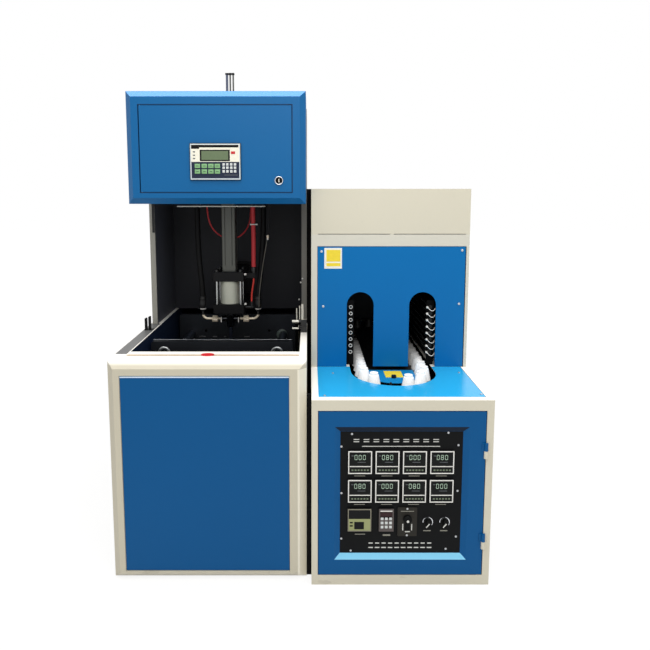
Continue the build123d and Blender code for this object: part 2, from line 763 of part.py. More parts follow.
def rear_platen():
    front = axis_y + platen_open
    plate = plate_on_axis(platen_width, front, front + platen_thick, platen_low, platen_high, 12)
    plate = mould_holes(bored(plate, tie_bar_radius + fit_gap))
    level = (tie_bar_low + tie_bar_high) / 2
    boss = bar(1.6 * clamp_rod_radius, (axis_x, front + platen_thick, level), (axis_x, front + platen_thick + 20, level))
    return plate + boss - bar(clamp_rod_radius, (axis_x, front + 10, level), (axis_x, blower_y1, level))


def support_plates():
    """Two fixed plates with feet on the floor of the base, which carry the sliding tie bars."""
    plates = []
    for front in (blower_y0 + support_front, blower_y0 + support_back):
        width = blower_width - rim_left - rim_right - 2 * sheet - 20
        plate = plate_on_axis(width, front, front + support_thick, sheet, support_high, 6)
        plate -= plate_on_axis(width - 240, front - 1, front + support_thick + 1, tie_bar_low - 60, support_high - 160, 20)
        plate -= plate_on_axis(width - 240, front - 1, front + support_thick + 1, 80, tie_bar_low - 120, 20)
        plates.append(bored(plate, tie_bar_radius + fit_gap))
    return Compound(plates)


def clamp_lengths():
    """Where the end plate stands and where its cylinder ends, with the platens open."""
    end_plate = blower_y0 + support_back + support_thick + 15
    return end_plate, end_plate + end_plate_thick + clamp_barrel_length


def tie_bars():
    end_plate = clamp_lengths()[0]
    front_tail = blower_y0 + support_front - 25
    rear_tail = end_plate + end_plate_thick + 15
    return Compound([bar(tie_bar_radius, (x, front_tail, level), (x, rear_tail, level)) for x, level in tie_bar_places()])


def clamp_cylinder():
    """The end plate that the tie bars pull on, with the cylinder barrel and rear cap bolted to it."""
    end_plate, barrel_end = clamp_lengths()
    level = (tie_bar_low + tie_bar_high) / 2
    plate = plate_on_axis(2 * tie_bar_x + 120, end_plate, end_plate + end_plate_thick, tie_bar_low - 60, tie_bar_high + 60, 15)
    plate = bored(plate, tie_bar_radius)
    plate += bar(clamp_bore_radius, (axis_x, end_plate + end_plate_thick, level), (axis_x, barrel_end, level))
    half = 1.05 * clamp_bore_radius
    plate += plate_on_axis(2 * half, barrel_end, barrel_end + clamp_cap_thick, level - half, level + half, 15)
    return plate - bar(clamp_rod_radius + fit_gap, (axis_x, end_plate - 1, level), (axis_x, barrel_end, level))


def clamp_rod():
    level = (tie_bar_low + tie_bar_high) / 2
    front = axis_y + platen_open + 10
    return bar(clamp_rod_radius, (axis_x, front, level), (axis_x, clamp_lengths()[1] - 8, level))


def lifting_eyes():
    """Two eyebolts on top of the front support plate."""
    eyes = []
    y = blower_y0 + support_front + support_thick / 2
    for side in (-1, 1):
        x = axis_x + eye_shift + side * eye_spread
        eye = Pos(x, y, support_high + eye_radius + 12) * Rot(90, 0, 0) * Torus(eye_radius, eye_wire)
        eye += upright(eye_wire + 2, x, y, support_high, support_high + 14)
        eye += upright(2 * eye_wire + 2, x, y, support_high, support_high + 4)
        eyes.append(eye)
    return Compound(eyes)


def guard_posts():
    """Two dark flat bars on a foot, on the left rim beside the bay."""
    x, y = blower_x0 + rim_left / 2, blower_y0 + 545
    foot = slab((x - 20, x + 20), (y - 15, y + 15), (blower_height, blower_height + 4))
    for left, tall in ((-19, 58), (-1, 66)):
        post = slab((x + left, x + left + 9), (y - 10, y + 10), (blower_height + 4, blower_height + tall))
        foot += chamfer(post.faces().sort_by(Axis.Z)[-1].edges().filter_by(Axis.Y), 2)
    return foot


def position_switch():
    """The switch block on the right rim with its two plungers and upright rods."""
    x, y, z = blower_x1 - rim_right / 2, blower_y0 + 500, blower_height
    block = slab((x - 14, x + 14), (y - 12, y + 12), (z, z + 62))
    block += slab((x - 26, x + 14), (y - 16, y + 16), (z + 26, z + 34))
    block += bar(8, (x - 56, y - 4, z + 52), (x - 8, y - 4, z + 52))
    block += bar(5, (x - 56, y - 4, z + 18), (x - 8, y - 4, z + 18))
    for shift, tall in ((-34, 116), (-20, 128)):
        block += upright(3, x + shift, y - 4, z + 50, z + tall)
    return block + slab((x - 12, x - 2), (y - 6, y), (z + 60, z + 136))


# Heating unit base, shelf and control door
def loop_outline(radius, spring_y, rear_y):
    """A loop-shaped outline: two straight sides with a half round at each end."""
    centre = (spring_y + rear_y) / 2
    return Pos(oven_x, centre, 0) * Rot(0, 0, 90) * SlotOverall(rear_y - spring_y + 2 * radius, 2 * radius)


def loop_hole(radius, low, high):
    outline = loop_outline(radius, turn_y, turn_y + straight)
    return extrude(Pos(0, 0, low) * outline, high - low)


def control_pivot():
    return door_x0 + control_door_width + control_door_gap / 2, heater_y0 - knuckle_radius / 2


def heater_base():
    x, y, z = (heater_x0, heater_x1), (heater_y0, heater_y1), (0, heater_height)
    base = slab(x, y, z) - slab(*[(low + sheet, high - sheet) for low, high in (x, y, z)])
    gap = control_door_gap
    window_x = (door_x0 - gap, door_x0 + control_door_width + gap)
    window_z = (control_door_low - gap, control_door_low + control_door_height + gap)
    depth = control_door_depth + run_gap
    base += slab((window_x[0] - sheet, window_x[1] + sheet), (heater_y0 + sheet, heater_y0 + depth + sheet),
                 (window_z[0] - sheet, window_z[1] + sheet))
    base -= slab(window_x, (heater_y0 - sheet, heater_y0 + depth), window_z)
    base -= slab((window_x[0] + lip_width, window_x[1] - lip_width), (heater_y0, heater_y0 + 2 * depth),
                 (window_z[0] + lip_width, window_z[1] - lip_width))
    base -= loop_hole(loop_opening, heater_height - 2 * sheet, heater_height + sheet)
    knuckle_x, knuckle_y = control_pivot()
    for level in knuckle_heights:
        knuckle = upright(knuckle_radius, knuckle_x, knuckle_y, level - knuckle_length, level - run_gap)
        knuckle += slab((knuckle_x, knuckle_x + 2 * knuckle_radius), (heater_y0 - sheet, heater_y0 + sheet / 2),
                        (level - knuckle_length, level - run_gap))
        base -= upright(knuckle_radius + run_gap, knuckle_x, knuckle_y, level - run_gap, level + knuckle_length + run_gap)
        base = base + knuckle - upright(hinge_pin_radius, knuckle_x, knuckle_y, level - knuckle_length - 1, level + 1)
    return base


def heater_shelf():
    """The blue shelf plate with its D-shaped cut-out around the front turn of the loop."""
    x = (heater_x0 + shelf_inset, heater_x1 - shelf_inset)
    top = (heater_height, heater_height + shelf_sheet)
    shelf = slab(x, (heater_y0 + shelf_front, oven_y0 - run_gap), top)
    shelf = fillet(shelf.edges().filter_by(Axis.Z), 3)
    return shelf - loop_hole(loop_opening, heater_height - 1, heater_height + 2 * shelf_sheet)


def control_door():
    """A folded door with a bevelled recess that frames the control panel."""
    half_x, half_z = control_door_width / 2, control_door_height / 2
    back = heater_y0 + control_door_depth
    door = slab((door_x - half_x, door_x + half_x), (heater_y0, back), (door_z - half_z, door_z + half_z))
    rim_x, rim_z = recess_width / 2 + sheet, recess_height / 2 + sheet
    pocket = slab((door_x - half_x + sheet, door_x + half_x - sheet), (heater_y0 + sheet, back + 1),
                  (door_z - half_z + sheet, door_z + half_z - sheet))
    pocket -= slab((door_x - rim_x, door_x + rim_x), (heater_y0, back + 2), (door_z - rim_z, door_z + rim_z))
    door -= pocket
    floor_x, floor_z = recess_width - 2 * recess_bevel, recess_height - 2 * recess_bevel
    mouth = Plane((door_x, heater_y0, door_z), x_dir=(1, 0, 0), z_dir=(0, 1, 0))
    floor = Plane((door_x, heater_y0 + recess_depth, door_z), x_dir=(1, 0, 0), z_dir=(0, 1, 0))
    recess = loft([mouth * Rectangle(recess_width, recess_height), floor * Rectangle(floor_x, floor_z)])
    seat_y = (heater_y0 + recess_depth, heater_y0 + recess_depth + panel_sheet)
    door -= recess
    door -= slab((door_x - floor_x / 2, door_x + floor_x / 2), seat_y, (door_z - floor_z / 2, door_z + floor_z / 2))
    door -= slab((door_x - floor_x / 2 + lip_width, door_x + floor_x / 2 - lip_width), (heater_y0, back + 1),
                 (door_z - floor_z / 2 + lip_width, door_z + floor_z / 2 - lip_width))
    knuckle_x, knuckle_y = control_pivot()
    for level in knuckle_heights:
        top = level + knuckle_length
        knuckle = upright(knuckle_radius, knuckle_x, knuckle_y, level, top)
        knuckle += slab((knuckle_x - 2 * knuckle_radius, knuckle_x), (heater_y0 - sheet, heater_y0 + sheet / 2), (level, top))
        door -= upright(knuckle_radius + run_gap, knuckle_x, knuckle_y, level - knuckle_length - run_gap, level)
        door = door + knuckle - upright(hinge_pin_radius + fit_gap, knuckle_x, knuckle_y, level - 1, top - sheet)
    return door


def panel_face():
    return heater_y0 + recess_depth


def instrument(x, z, wide, tall, proud, deep):
    """A framed instrument: a bezel on the panel's face and a smaller body behind it."""
    face = panel_face()
    bezel = slab((x - wide / 2, x + wide / 2), (face - proud, face), (z - tall / 2, z + tall / 2))
    bezel = chamfer(bezel.faces().sort_by(Axis.Y)[0].edges(), proud / 4)
    window = slab((x - wide / 2 + 6, x + wide / 2 - 6), (face - proud - 1, face - proud + 2), (z - tall / 2 + 6, z + tall / 2 - 6))
    body = slab((x - wide / 2 + 3, x + wide / 2 - 3), (face, face + deep), (z - tall / 2 + 3, z + tall / 2 - 3))
    return bezel - window + body


def controller_places():
    return [(door_x + controller_shift + (column - 1.5) * controller_pitch_x, controller_row - row * controller_pitch_z)
            for row in range(2) for column in range(4)]


meter_place = (door_x + controller_shift - 1.5 * controller_pitch_x, third_row)
timer_place = (door_x + controller_shift - 0.5 * controller_pitch_x - 1, third_row)
speed_place = (door_x + speed_shift, third_row - speed_drop)
selector_places = {name: (door_x + shift, third_row - selector_drop)
                   for name, shift in zip(("left_selector", "right_selector"), selector_shifts)}


def control_panel():
    """The black front plate, with a square cut-out behind each framed instrument."""
    half_x, half_z = recess_width / 2 - recess_bevel, recess_height / 2 - recess_bevel
    face = panel_face()
    panel = slab((door_x - half_x, door_x + half_x), (face, face + panel_sheet), (door_z - half_z, door_z + half_z))
    holes = [(x, z, controller_side, controller_side) for x, z in controller_places() + [meter_place]]
    holes.append((*timer_place, timer_width, controller_side))
    for x, z, wide, tall in holes:
        panel -= slab((x - wide / 2 + 3, x + wide / 2 - 3), (face - 1, face + 2 * panel_sheet), (z - tall / 2 + 3, z + tall / 2 - 3))
    for x, z in [*selector_places.values(), (speed_place[0], speed_place[1] + 14)]:
        panel -= bar(spindle_radius + fit_gap, (x, face - 1, z), (x, face + 2 * panel_sheet, z))
    return panel


def temperature_controllers():
    return Compound([instrument(x, z, controller_side, controller_side, controller_bezel, controller_body)
                     for x, z in controller_places()])


def voltmeter():
    return instrument(*meter_place, controller_side, controller_side, controller_bezel, controller_body)


def timer():
    """A narrow timer with a display window and nine keys."""
    x, z = timer_place
    face = panel_face()
    unit = instrument(x, z, timer_width, controller_side, controller_bezel, controller_body)
    for row in range(3):
        for column in range(3):
            key_x, key_z = x + (column - 1) * 15, z + 2 - row * 15
            unit += slab((key_x - 5, key_x + 5), (face - controller_bezel + 1, face - controller_bezel + 3), (key_z - 5, key_z + 5))
    return unit


def speed_controller():
    """The motor speed plate, bored for its knob and switch."""
    x, z = speed_place
    face = panel_face()
    plate = slab((x - speed_plate_width / 2, x + speed_plate_width / 2), (face - 2 * panel_sheet, face),
                 (z - speed_plate_height / 2, z + speed_plate_height / 2))
    plate = fillet(plate.edges().filter_by(Axis.Y), 3)
    plate -= bar(spindle_radius + fit_gap, (x, face - 3 * panel_sheet, z + 14), (x, face + 1, z + 14))
    pivot = (face - rocker_pivot, z + rocker_drop)
    plate -= slab((x - 11, x + 11), (face - 3 * panel_sheet, face - 0.5), (pivot[1] - 15, pivot[1] + 15))
    return plate - bar(1 + fit_gap, (x - 14, *pivot), (x + 14, *pivot))


def knob(x, z, radius, height, base):
    """A fluted pointer knob on its spindle."""
    plane = Plane((x, base, z), x_dir=(1, 0, 0), z_dir=(0, -1, 0))
    skirt = extrude(plane * Circle(radius), height / 3)
    grip = extrude(plane * SlotOverall(1.7 * radius, 0.8 * radius, rotation=90), height)
    return skirt + grip + bar(spindle_radius, (x, base, z), (x, panel_face() + 2 * panel_sheet, z))


def speed_knob():
    x, z = speed_place
    base = panel_face() - 2 * panel_sheet - run_gap
    plane = Plane((x, base, z + 14), x_dir=(1, 0, 0), z_dir=(0, -1, 0))
    dial = chamfer(extrude(plane * Circle(speed_knob_radius), 14).faces().sort_by(Axis.Y)[0].edges(), 2)
    return dial + bar(spindle_radius, (x, base, z + 14), (x, panel_face() + 2 * panel_sheet, z + 14))


def speed_switch():
    """The rocker in its pocket, with its pivot pin through both sides of the plate's pocket."""
    x, z = speed_place
    face = panel_face() - rocker_pivot
    outline = Polyline((face + 0.5, -9), (face - 4, -13), (face - 1.5, 0), (face - 4, 13), (face + 0.5, 9), (face + 0.5, -9))
    side = make_face(Plane((x - 10, 0, z + rocker_drop), x_dir=(0, 1, 0), z_dir=(1, 0, 0)) * outline)
    rocker = extrude(side, 20, dir=(1, 0, 0))
    return rocker + bar(1, (x - 13, face, z + rocker_drop), (x + 13, face, z + rocker_drop))


def heater_power_gear():
    """The upright mounting plate behind the control door, with contactors, a transformer and terminals."""
    y = heater_y0 + gear_setback
    x0 = heater_x0 + gear_margin
    pieces = [slab((x0, heater_x1 - gear_margin), (y, y + sheet), (sheet, gear_height))]
    pitch = (heater_width - 2 * gear_margin - 40) / contactor_count
    for number in range(contactor_count):
        left = x0 + 20 + pitch * number
        contactor = slab((left, left + 0.66 * pitch), (y - 80, y), (gear_height - 200, gear_height - 120))
        pieces.append(chamfer(contactor.faces().sort_by(Axis.Y)[0].edges(), 8))
    pieces.append(slab((x0 + 30, x0 + 0.3 * heater_width - 26), (y - 120, y), (90, 230)))
    pieces.append(slab((x0 + 0.36 * heater_width, x0 + 0.77 * heater_width), (y - 40, y), (130, 180)))
    return pieces


# Oven
def oven_cabinet():
    x, y, z = (heater_x0, heater_x1), (oven_y0, heater_y1), (heater_height, oven_height)
    cabinet = slab(x, y, z)
    cabinet -= slab((x[0] + sheet, x[1] - sheet), (y[0] + sheet, y[1] - sheet), (z[0] - 1, z[1] - sheet))
    plate_x = (heater_x0 + plate_left - panel_gap, heater_x0 + plate_left + plate_width + panel_gap)
    plate_z = (heater_height, plate_high + panel_gap)
    cabinet += slab((plate_x[0] - sheet, plate_x[1] + sheet), (oven_y0 + sheet, oven_y0 + 3 * sheet), (z[0], plate_z[1] + sheet))
    cabinet -= slab(plate_x, (oven_y0 - 1, oven_y0 + 2 * sheet), (z[0] - 1, plate_z[1]))
    cabinet -= slab((plate_x[0] + lip_width, plate_x[1] - lip_width), (oven_y0, oven_y0 + 4 * sheet), (z[0] - 1, plate_z[1] - lip_width))
    vent_z = oven_height - 12
    return cabinet - slab((x[0] + 60, x[1] - 60), (y[0] + 60, y[1] - 60), (vent_z, oven_height + 1))


def oven_top_cover():
    """The lift-off cover of the oven, with two thin slits above its front joint."""
    x, y, z = (heater_x0, heater_x1), (oven_y0, heater_y1), (oven_height, cover_height)
    cover = slab(x, y, z)
    cover -= slab((x[0] + sheet, x[1] - sheet), (y[0] + sheet, y[1] - sheet), (z[0] - 1, z[1] - sheet))
    middle = heater_x0 + plate_left + plate_width / 2
    reach = plate_width / 2 - 2
    for side in (-1, 1):
        slit = sorted((middle + side * seam_tab / 2, middle + side * reach))
        cover -= slab(slit, (y[0] - 1, y[0] + 2 * sheet), (z[0] - 1, z[0] + seam_height))
    return cover


def oven_front_plate():
    """The blue plate with two round-topped slots for the preforms to pass."""
    x0 = heater_x0 + plate_left
    face = oven_y0 + 1.0
    plate = slab((x0, x0 + plate_width), (face, oven_y0 + 2 * sheet), (plate_low, plate_high))
    plate = chamfer(plate.faces().sort_by(Axis.Y)[0].edges(), 1)
    for side in (-1, 1):
        x = oven_x + side * slot_spacing / 2
        plate -= slab((x - slot_width / 2, x + slot_width / 2), (face - 1, face + 4 * sheet), (plate_low - 2, slot_spring))
        plate -= bar(slot_width / 2, (x, face - 1, slot_spring), (x, face + 4 * sheet, slot_spring))
    return plate


def centre_cover():
    """The tongue-shaped tray between the two rows, on three posts, with its knob."""
    outline = loop_outline(cover_radius, turn_y, turn_y + straight)
    cover = extrude(Pos(0, 0, cover_level - shelf_sheet) * outline, shelf_sheet)
    for share in (0.2, 0.5, 0.8):
        cover += upright(10, oven_x, turn_y + share * straight, beam_top(), cover_level - shelf_sheet / 2)
    cover += upright(11, oven_x, turn_y - 30, cover_level - shelf_sheet, cover_level + 12)
    return cover


def beam_top():
    return chain_height - roller_height - 4


def loop_frame():
    """The middle beam under the loop and the two cross members that tie it to the base walls."""
    top = beam_top()
    beam = slab((oven_x - 50, oven_x + 50), (turn_y - 60, turn_y + straight + 60), (top - 50, top))
    beam -= slab((oven_x - 46, oven_x + 46), (turn_y - 70, turn_y + straight + 70), (top - 46, top - 4))
    for share in (0.12, 0.88):
        y = turn_y + share * straight
        beam += slab((heater_x0 + sheet, heater_x1 - sheet), (y - 25, y + 25), (top - 90, top - 50))
    for y in (turn_y, turn_y + straight):
        beam += upright(30, oven_x, y, top - 50, top)
        beam -= upright(14 + fit_gap, oven_x, y, top - 100, top + 1)
    return beam


def sprockets():
    """Both sprockets, each with a pocket for every roller, on their upright shafts."""
    low, high = chain_height - roller_height, chain_height - 2
    wheels = []
    for y in (turn_y, turn_y + straight):
        wheel = upright(chain_radius - 4, oven_x, y, low, high)
        for tooth in range(teeth):
            angle = radians(bare_angle - 90 + tooth * 360 / teeth)
            x, place = oven_x + chain_radius * cos(angle), y + chain_radius * sin(angle)
            wheel -= upright(roller_radius + run_gap, x, place, low - 1, high + 1)
        wheel += upright(26, oven_x, y, low, high + 12)
        wheel += upright(14, oven_x, y, beam_top() - 80, low)
        wheels.append(wheel)
    return Compound(wheels)


def chain_point(number):
    """The place of one chain joint on the loop, counted from the bare carrier at the front turn."""
    step = 360 / teeth
    angle = -90 + bare_angle + number * step
    if angle <= 0:
        return oven_x + chain_radius * cos(radians(angle)), turn_y + chain_radius * sin(radians(angle))
    past = (angle / step) * chain_pitch
    if past <= straight:
        return oven_x + chain_radius, turn_y + past
    rear = (past - straight) / chain_pitch * step
    if rear <= 180:
        return oven_x + chain_radius * cos(radians(rear)), turn_y + straight + chain_radius * sin(radians(rear))
    back = (rear - 180) / step * chain_pitch
    if back <= straight:
        return oven_x - chain_radius, turn_y + straight - back
    last = 180 + (back - straight) / chain_pitch * step
    return oven_x + chain_radius * cos(radians(last)), turn_y + chain_radius * sin(radians(last))


link_count = teeth + 2 * straight_links


def carrier_chain():
    """Long link plates between rollers, each roller with the spindle that carries a holder."""
    links = []
    for number in range(link_count):
        x, y = chain_point(number)
        next_x, next_y = chain_point((number + 1) % link_count)
        roller = upright(roller_radius, x, y, chain_height - roller_height, chain_height)
        roller += upright(roller_radius / 2, x, y, chain_height, spindle_tip)
        links.append(roller)
        level = chain_height + (number % 2 if number < link_count - 1 else 2) * link_sheet
        span = Vector(next_x - x, next_y - y)
        outline = SlotCenterToCenter(span.length, link_width)
        turn = degrees(asin(max(-1, min(1, span.Y / span.length))))
        turn = turn if span.X >= 0 else 180 - turn
        plate = extrude(Pos((x + next_x) / 2, (y + next_y) / 2, level) * Rot(0, 0, turn) * outline, link_sheet)
        for hole_x, hole_y in ((x, y), (next_x, next_y)):
            plate -= upright(roller_radius / 2, hole_x, hole_y, level - 1, level + 2 * link_sheet)
        links.append(plate)
    return Compound(links)


def preform_holders():
    """The white tapered holders, one on each spindle except the bare one at the front."""
    low = spindle_tip
    rim = 10.0
    holder = tapered(holder_base_radius, holder_top_radius, 0, 0, 0, holder_height - rim)
    holder += upright(holder_top_radius - 3, 0, 0, holder_height - rim, holder_height)
    return Compound([Pos(*chain_point(number), low) * holder for number in range(1, link_count)])


def lamp_places():
    return [(oven_x + side * lamp_offset, lamp_low + number * lamp_pitch)
            for side in (-1, 1) for number in range(lamp_count)]


def heating_lamps():
    """Quartz tubes with a ceramic cap at each end."""
    front = oven_y0 + 42
    lamps = []
    for x, z in lamp_places():
        lamp = bar(lamp_radius, (x, front + 1, z), (x, front + lamp_length - 1, z))
        for start in (front - lamp_cap_length / 2, front + lamp_length - lamp_cap_length / 2):
            lamp += bar(lamp_cap_radius, (x, start, z), (x, start + lamp_cap_length, z))
        lamps.append(lamp)
    return Compound(lamps)


def lamp_racks():
    """On each side a reflector with its two ends turned in to hold the lamps."""
    front = oven_y0 + 42
    racks = []
    for side in (-1, 1):
        outer = oven_x + side * (loop_opening + 14)
        inner = oven_x + side * (lamp_offset - rack_depth / 2)
        z = (heater_height, lamp_low + lamp_count * lamp_pitch)
        rack = slab(sorted((outer, inner)), (front - sheet, front + lamp_length + sheet), z)
        rack -= slab(sorted((outer - side * 2, inner - side * 5)), (front, front + lamp_length), (z[0] - 1, z[1] + 1))
        for x, level in lamp_places():
            if (x - oven_x) * side > 0:
                rack -= bar(lamp_cap_radius, (x, front - 50, level), (x, front + lamp_length + 50, level))
        racks.append(rack)
    return Compound(racks)


def drive_motor():
    """The geared motor under the rear sprocket, bolted below its cross member."""
    y = turn_y + straight
    top = beam_top() - 90
    box = slab((oven_x - 55, oven_x + 55), (y - 90, y + 60), (top - 120, top))
    box = fillet(box.edges().filter_by(Axis.X), 12)
    motor = bar(52, (oven_x, y + 60, top - 60), (oven_x, y + 60 + 150, top - 60))
    fan = bar(54, (oven_x, y + 210, top - 60), (oven_x, y + 236, top - 60))
    box += motor + fan
    return box - upright(14, oven_x, y, beam_top() - 80, top + 1)


nodes["blower_frame"] = blower_frame()
nodes["blower_front_panel"] = blower_front_panel()
nodes["clamp_cover"] = clamp_cover()
nodes["cabinet_seal"] = cabinet_seal()
nodes["upper_frame"] = upper_frame()
nodes["bay_lining"] = bay_lining()
nodes["head_box"] = head_box()
nodes["head_door"] = head_door()
nodes["control_gear"] = Compound(head_control_gear() + heater_power_gear())
nodes["hinge_pins"] = hinge_pins()
nodes["operator_panel"] = operator_panel()
nodes["lock_ring"] = lock_ring()
nodes["lock_plug"] = lock_plug()
nodes["stretch_cylinder"] = stretch_cylinder()
nodes["stretch_rod"] = stretch_rod()
nodes["stretch_yoke"] = stretch_yoke()
nodes["seal_cylinder_heads"] = seal_cylinder_heads()
nodes["seal_cylinder_barrel"] = seal_cylinder_barrel()
nodes["seal_tie_rods"] = seal_tie_rods()
nodes["cylinder_bracket"] = cylinder_bracket()
nodes["blow_manifold"] = blow_manifold()
nodes["blow_nozzle"] = blow_nozzle()
nodes["air_fittings"] = air_fittings()
for name, (radius, route) in hoses.items():
    nodes[name] = hose(radius, beside_axis(route))
nodes["front_platen"] = front_platen()
nodes["rear_platen"] = rear_platen()
nodes["support_plates"] = support_plates()
nodes["tie_bars"] = tie_bars()
nodes["clamp_cylinder"] = clamp_cylinder()
nodes["clamp_rod"] = clamp_rod()
nodes["lifting_eyes"] = lifting_eyes()
nodes["guard_posts"] = guard_posts()
nodes["position_switch"] = position_switch()
nodes["heater_base"] = heater_base()
nodes["heater_shelf"] = heater_shelf()
nodes["control_door"] = control_door()
nodes["control_panel"] = control_panel()
nodes["temperature_controllers"] = temperature_controllers()
nodes["panel_meters"] = Compound([voltmeter(), timer()])
nodes["speed_controller"] = speed_controller()
nodes["speed_knob"] = speed_knob()
nodes["speed_switch"] = speed_switch()
for name, place in selector_places.items():
    nodes[name] = knob(*place, selector_radius, 20, panel_face() - run_gap)
nodes["oven_cabinet"] = oven_cabinet()
nodes["oven_top_cover"] = oven_top_cover()
nodes["oven_front_plate"] = oven_front_plate()
nodes["centre_cover"] = centre_cover()
nodes["loop_frame"] = loop_frame()
nodes["sprockets"] = sprockets()
nodes["carrier_chain"] = carrier_chain()
nodes["preform_holders"] = preform_holders()
nodes["heating_lamps"] = heating_lamps()
nodes["lamp_racks"] = lamp_racks()
nodes["drive_motor"] = drive_motor()

os.makedirs("parts", exist_ok=True)
for name, shape in nodes.items():
    export_step(shape, f"parts/{name}.step")
print(len(nodes), "nodes written")
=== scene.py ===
# %% [markdown]
# # A stretch blow moulding machine, dressed in Blender
# The machine stands in two cabinets: a blowing unit with an overhanging control head, and a preform heating unit with
# an oven over a loop of carriers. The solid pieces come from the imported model. This script gives each of them its
# paint, metal, rubber or plastic, and adds what is too small or too soft for the solids: smooth hoses, screw heads,
# key pads, displays, bare plates, cable glands and lamp leads.

import math

import bmesh
import bpy
from mathutils import Matrix, Vector


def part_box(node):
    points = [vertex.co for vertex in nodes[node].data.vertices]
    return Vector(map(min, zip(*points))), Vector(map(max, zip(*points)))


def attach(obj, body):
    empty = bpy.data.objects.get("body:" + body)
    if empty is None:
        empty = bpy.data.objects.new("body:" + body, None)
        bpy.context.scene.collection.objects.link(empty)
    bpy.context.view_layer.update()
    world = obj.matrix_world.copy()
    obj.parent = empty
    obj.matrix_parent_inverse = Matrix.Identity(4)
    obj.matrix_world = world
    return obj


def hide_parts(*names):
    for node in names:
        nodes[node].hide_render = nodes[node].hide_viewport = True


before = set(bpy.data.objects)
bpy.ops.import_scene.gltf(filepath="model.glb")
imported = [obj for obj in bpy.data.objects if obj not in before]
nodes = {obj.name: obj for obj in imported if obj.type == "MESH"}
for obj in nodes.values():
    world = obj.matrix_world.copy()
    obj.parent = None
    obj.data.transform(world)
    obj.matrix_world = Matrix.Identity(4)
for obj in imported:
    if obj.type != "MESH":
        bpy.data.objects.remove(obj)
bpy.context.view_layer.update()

# %% [markdown]
# ## Where a solid piece stands
# New pieces are placed from the boxes of the solid ones, so that they sit on them. Two questions come up often: where
# the middle of a box is, and how far forward it reaches.


# %% Middle and front
def middle(node):
    return [(low + high) / 2 for low, high in zip(*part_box(node))]


def front(node):
    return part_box(node)[0].y


axis_x, axis_y, _ = middle("stretch_rod")
print("blow axis", round(axis_x, 4), round(axis_y, 4))

# %% [markdown]
# ## The camera
# The photograph looks straight at the fronts from a little above the shelf, and its lens keeps the uprights almost
# upright. That is a level camera tilted down slightly, with its frame shifted down and to the right, so the camera
# is aimed first and the rest is done with the shift.

# %% Camera
camera = bpy.data.objects.new("camera", bpy.data.cameras.new("camera"))
bpy.context.scene.collection.objects.link(camera)
bpy.context.scene.camera = camera
camera.location = (0.040, -3.0165, 1.594)
camera.rotation_euler = (math.radians(90 - 6.5), 0, 0)
camera.data.sensor_width = 36
camera.data.lens = 32.29
camera.data.shift_x = 0.0238
camera.data.shift_y = -0.1046
camera.data.clip_end = 60
print("camera", tuple(camera.location), "lens", camera.data.lens)

# %% [markdown]
# ## Hoses
# Air reaches the blowing head through hoses that hang between the ceiling of the bay and the fittings below it. A
# tube swept along straight runs and arcs looks like bent wire, so each hose is a NURBS curve: its points pull the
# line without being on it, and the line bends everywhere a little, as rubber does. The points are given from the blow
# axis: how far right of it, how far behind it, and the height. The profile's radius is one metre, and each point
# scales it down to the hose's own, because Blender takes a point's radius, and not the profile, for the curve's box.

# %% Hoses as smooth lines
bay_ceiling = 1.534
hoses = {}


def line_through(name, radius, points, resolution):
    curve = bpy.data.curves.new(name, "CURVE")
    curve.dimensions = "3D"
    curve.bevel_depth, curve.bevel_resolution, curve.use_fill_caps = 1.0, 5, True
    spline = curve.splines.new("NURBS")
    spline.points.add(len(points) - 1)
    for point, place in zip(spline.points, points):
        point.co, point.radius = (*place, 1), radius
    spline.order_u, spline.use_endpoint_u, spline.resolution_u = 3, True, resolution
    piece = bpy.data.objects.new(name, curve)
    bpy.context.scene.collection.objects.link(piece)
    return piece


def hang_hose(node, diameter, route):
    points = [(axis_x + right, axis_y + behind, height) for right, behind, height in route]
    piece = line_through(node + "_line", diameter / 2, points, resolution=10)
    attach(piece, "frame")
    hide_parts(node)
    hoses[node] = piece


hang_hose("left_blow_hose", 0.028, [
    (-0.143, 0, 1.031), (-0.143, 0, 1.075), (-0.150, 0.006, 1.150), (-0.160, 0.016, 1.240), (-0.166, 0.024, 1.340),
    (-0.168, 0.028, 1.440), (-0.168, 0.028, bay_ceiling)])
hang_hose("right_blow_hose", 0.028, [
    (0.143, 0, 1.031), (0.143, 0, 1.075), (0.155, 0.012, 1.150), (0.162, 0.020, 1.240), (0.169, 0.028, 1.340),
    (0.172, 0.034, 1.440), (0.172, 0.034, bay_ceiling)])
hang_hose("red_loop_hose", 0.008, [
    (-0.120, 0.046, bay_ceiling), (-0.120, 0.046, 1.480), (-0.107, 0.054, 1.416), (-0.076, 0.063, 1.372),
    (-0.034, 0.068, 1.347), (0.016, 0.068, 1.342), (0.062, 0.064, 1.366), (0.094, 0.056, 1.412),
    (0.107, 0.048, 1.474), (0.107, 0.048, bay_ceiling)])
hang_hose("red_feed_hose", 0.023, [
    (0.122, 0, 1.193), (0.122, 0, 1.262), (0.123, 0.004, 1.350), (0.121, 0.005, 1.440), (0.121, 0.005, bay_ceiling)])
hang_hose("red_air_tube", 0.009, [
    (0.110, 0, 1.0235), (0.110, 0, 1.056), (0.115, 0, 1.094), (0.122, 0, 1.130), (0.122, 0, 1.147)])
hang_hose("grey_lead", 0.004, [
    (0.150, -0.022, 1.002), (0.150, -0.022, 1.050), (0.156, -0.020, 1.105), (0.163, -0.018, 1.160),
    (0.171, -0.016, 1.215), (0.180, -0.013, 1.270), (0.190, -0.010, 1.325), (0.199, -0.007, 1.380),
    (0.204, -0.005, 1.435), (0.206, -0.004, 1.488), (0.206, -0.004, bay_ceiling)])
print("hoses", sorted(hoses))

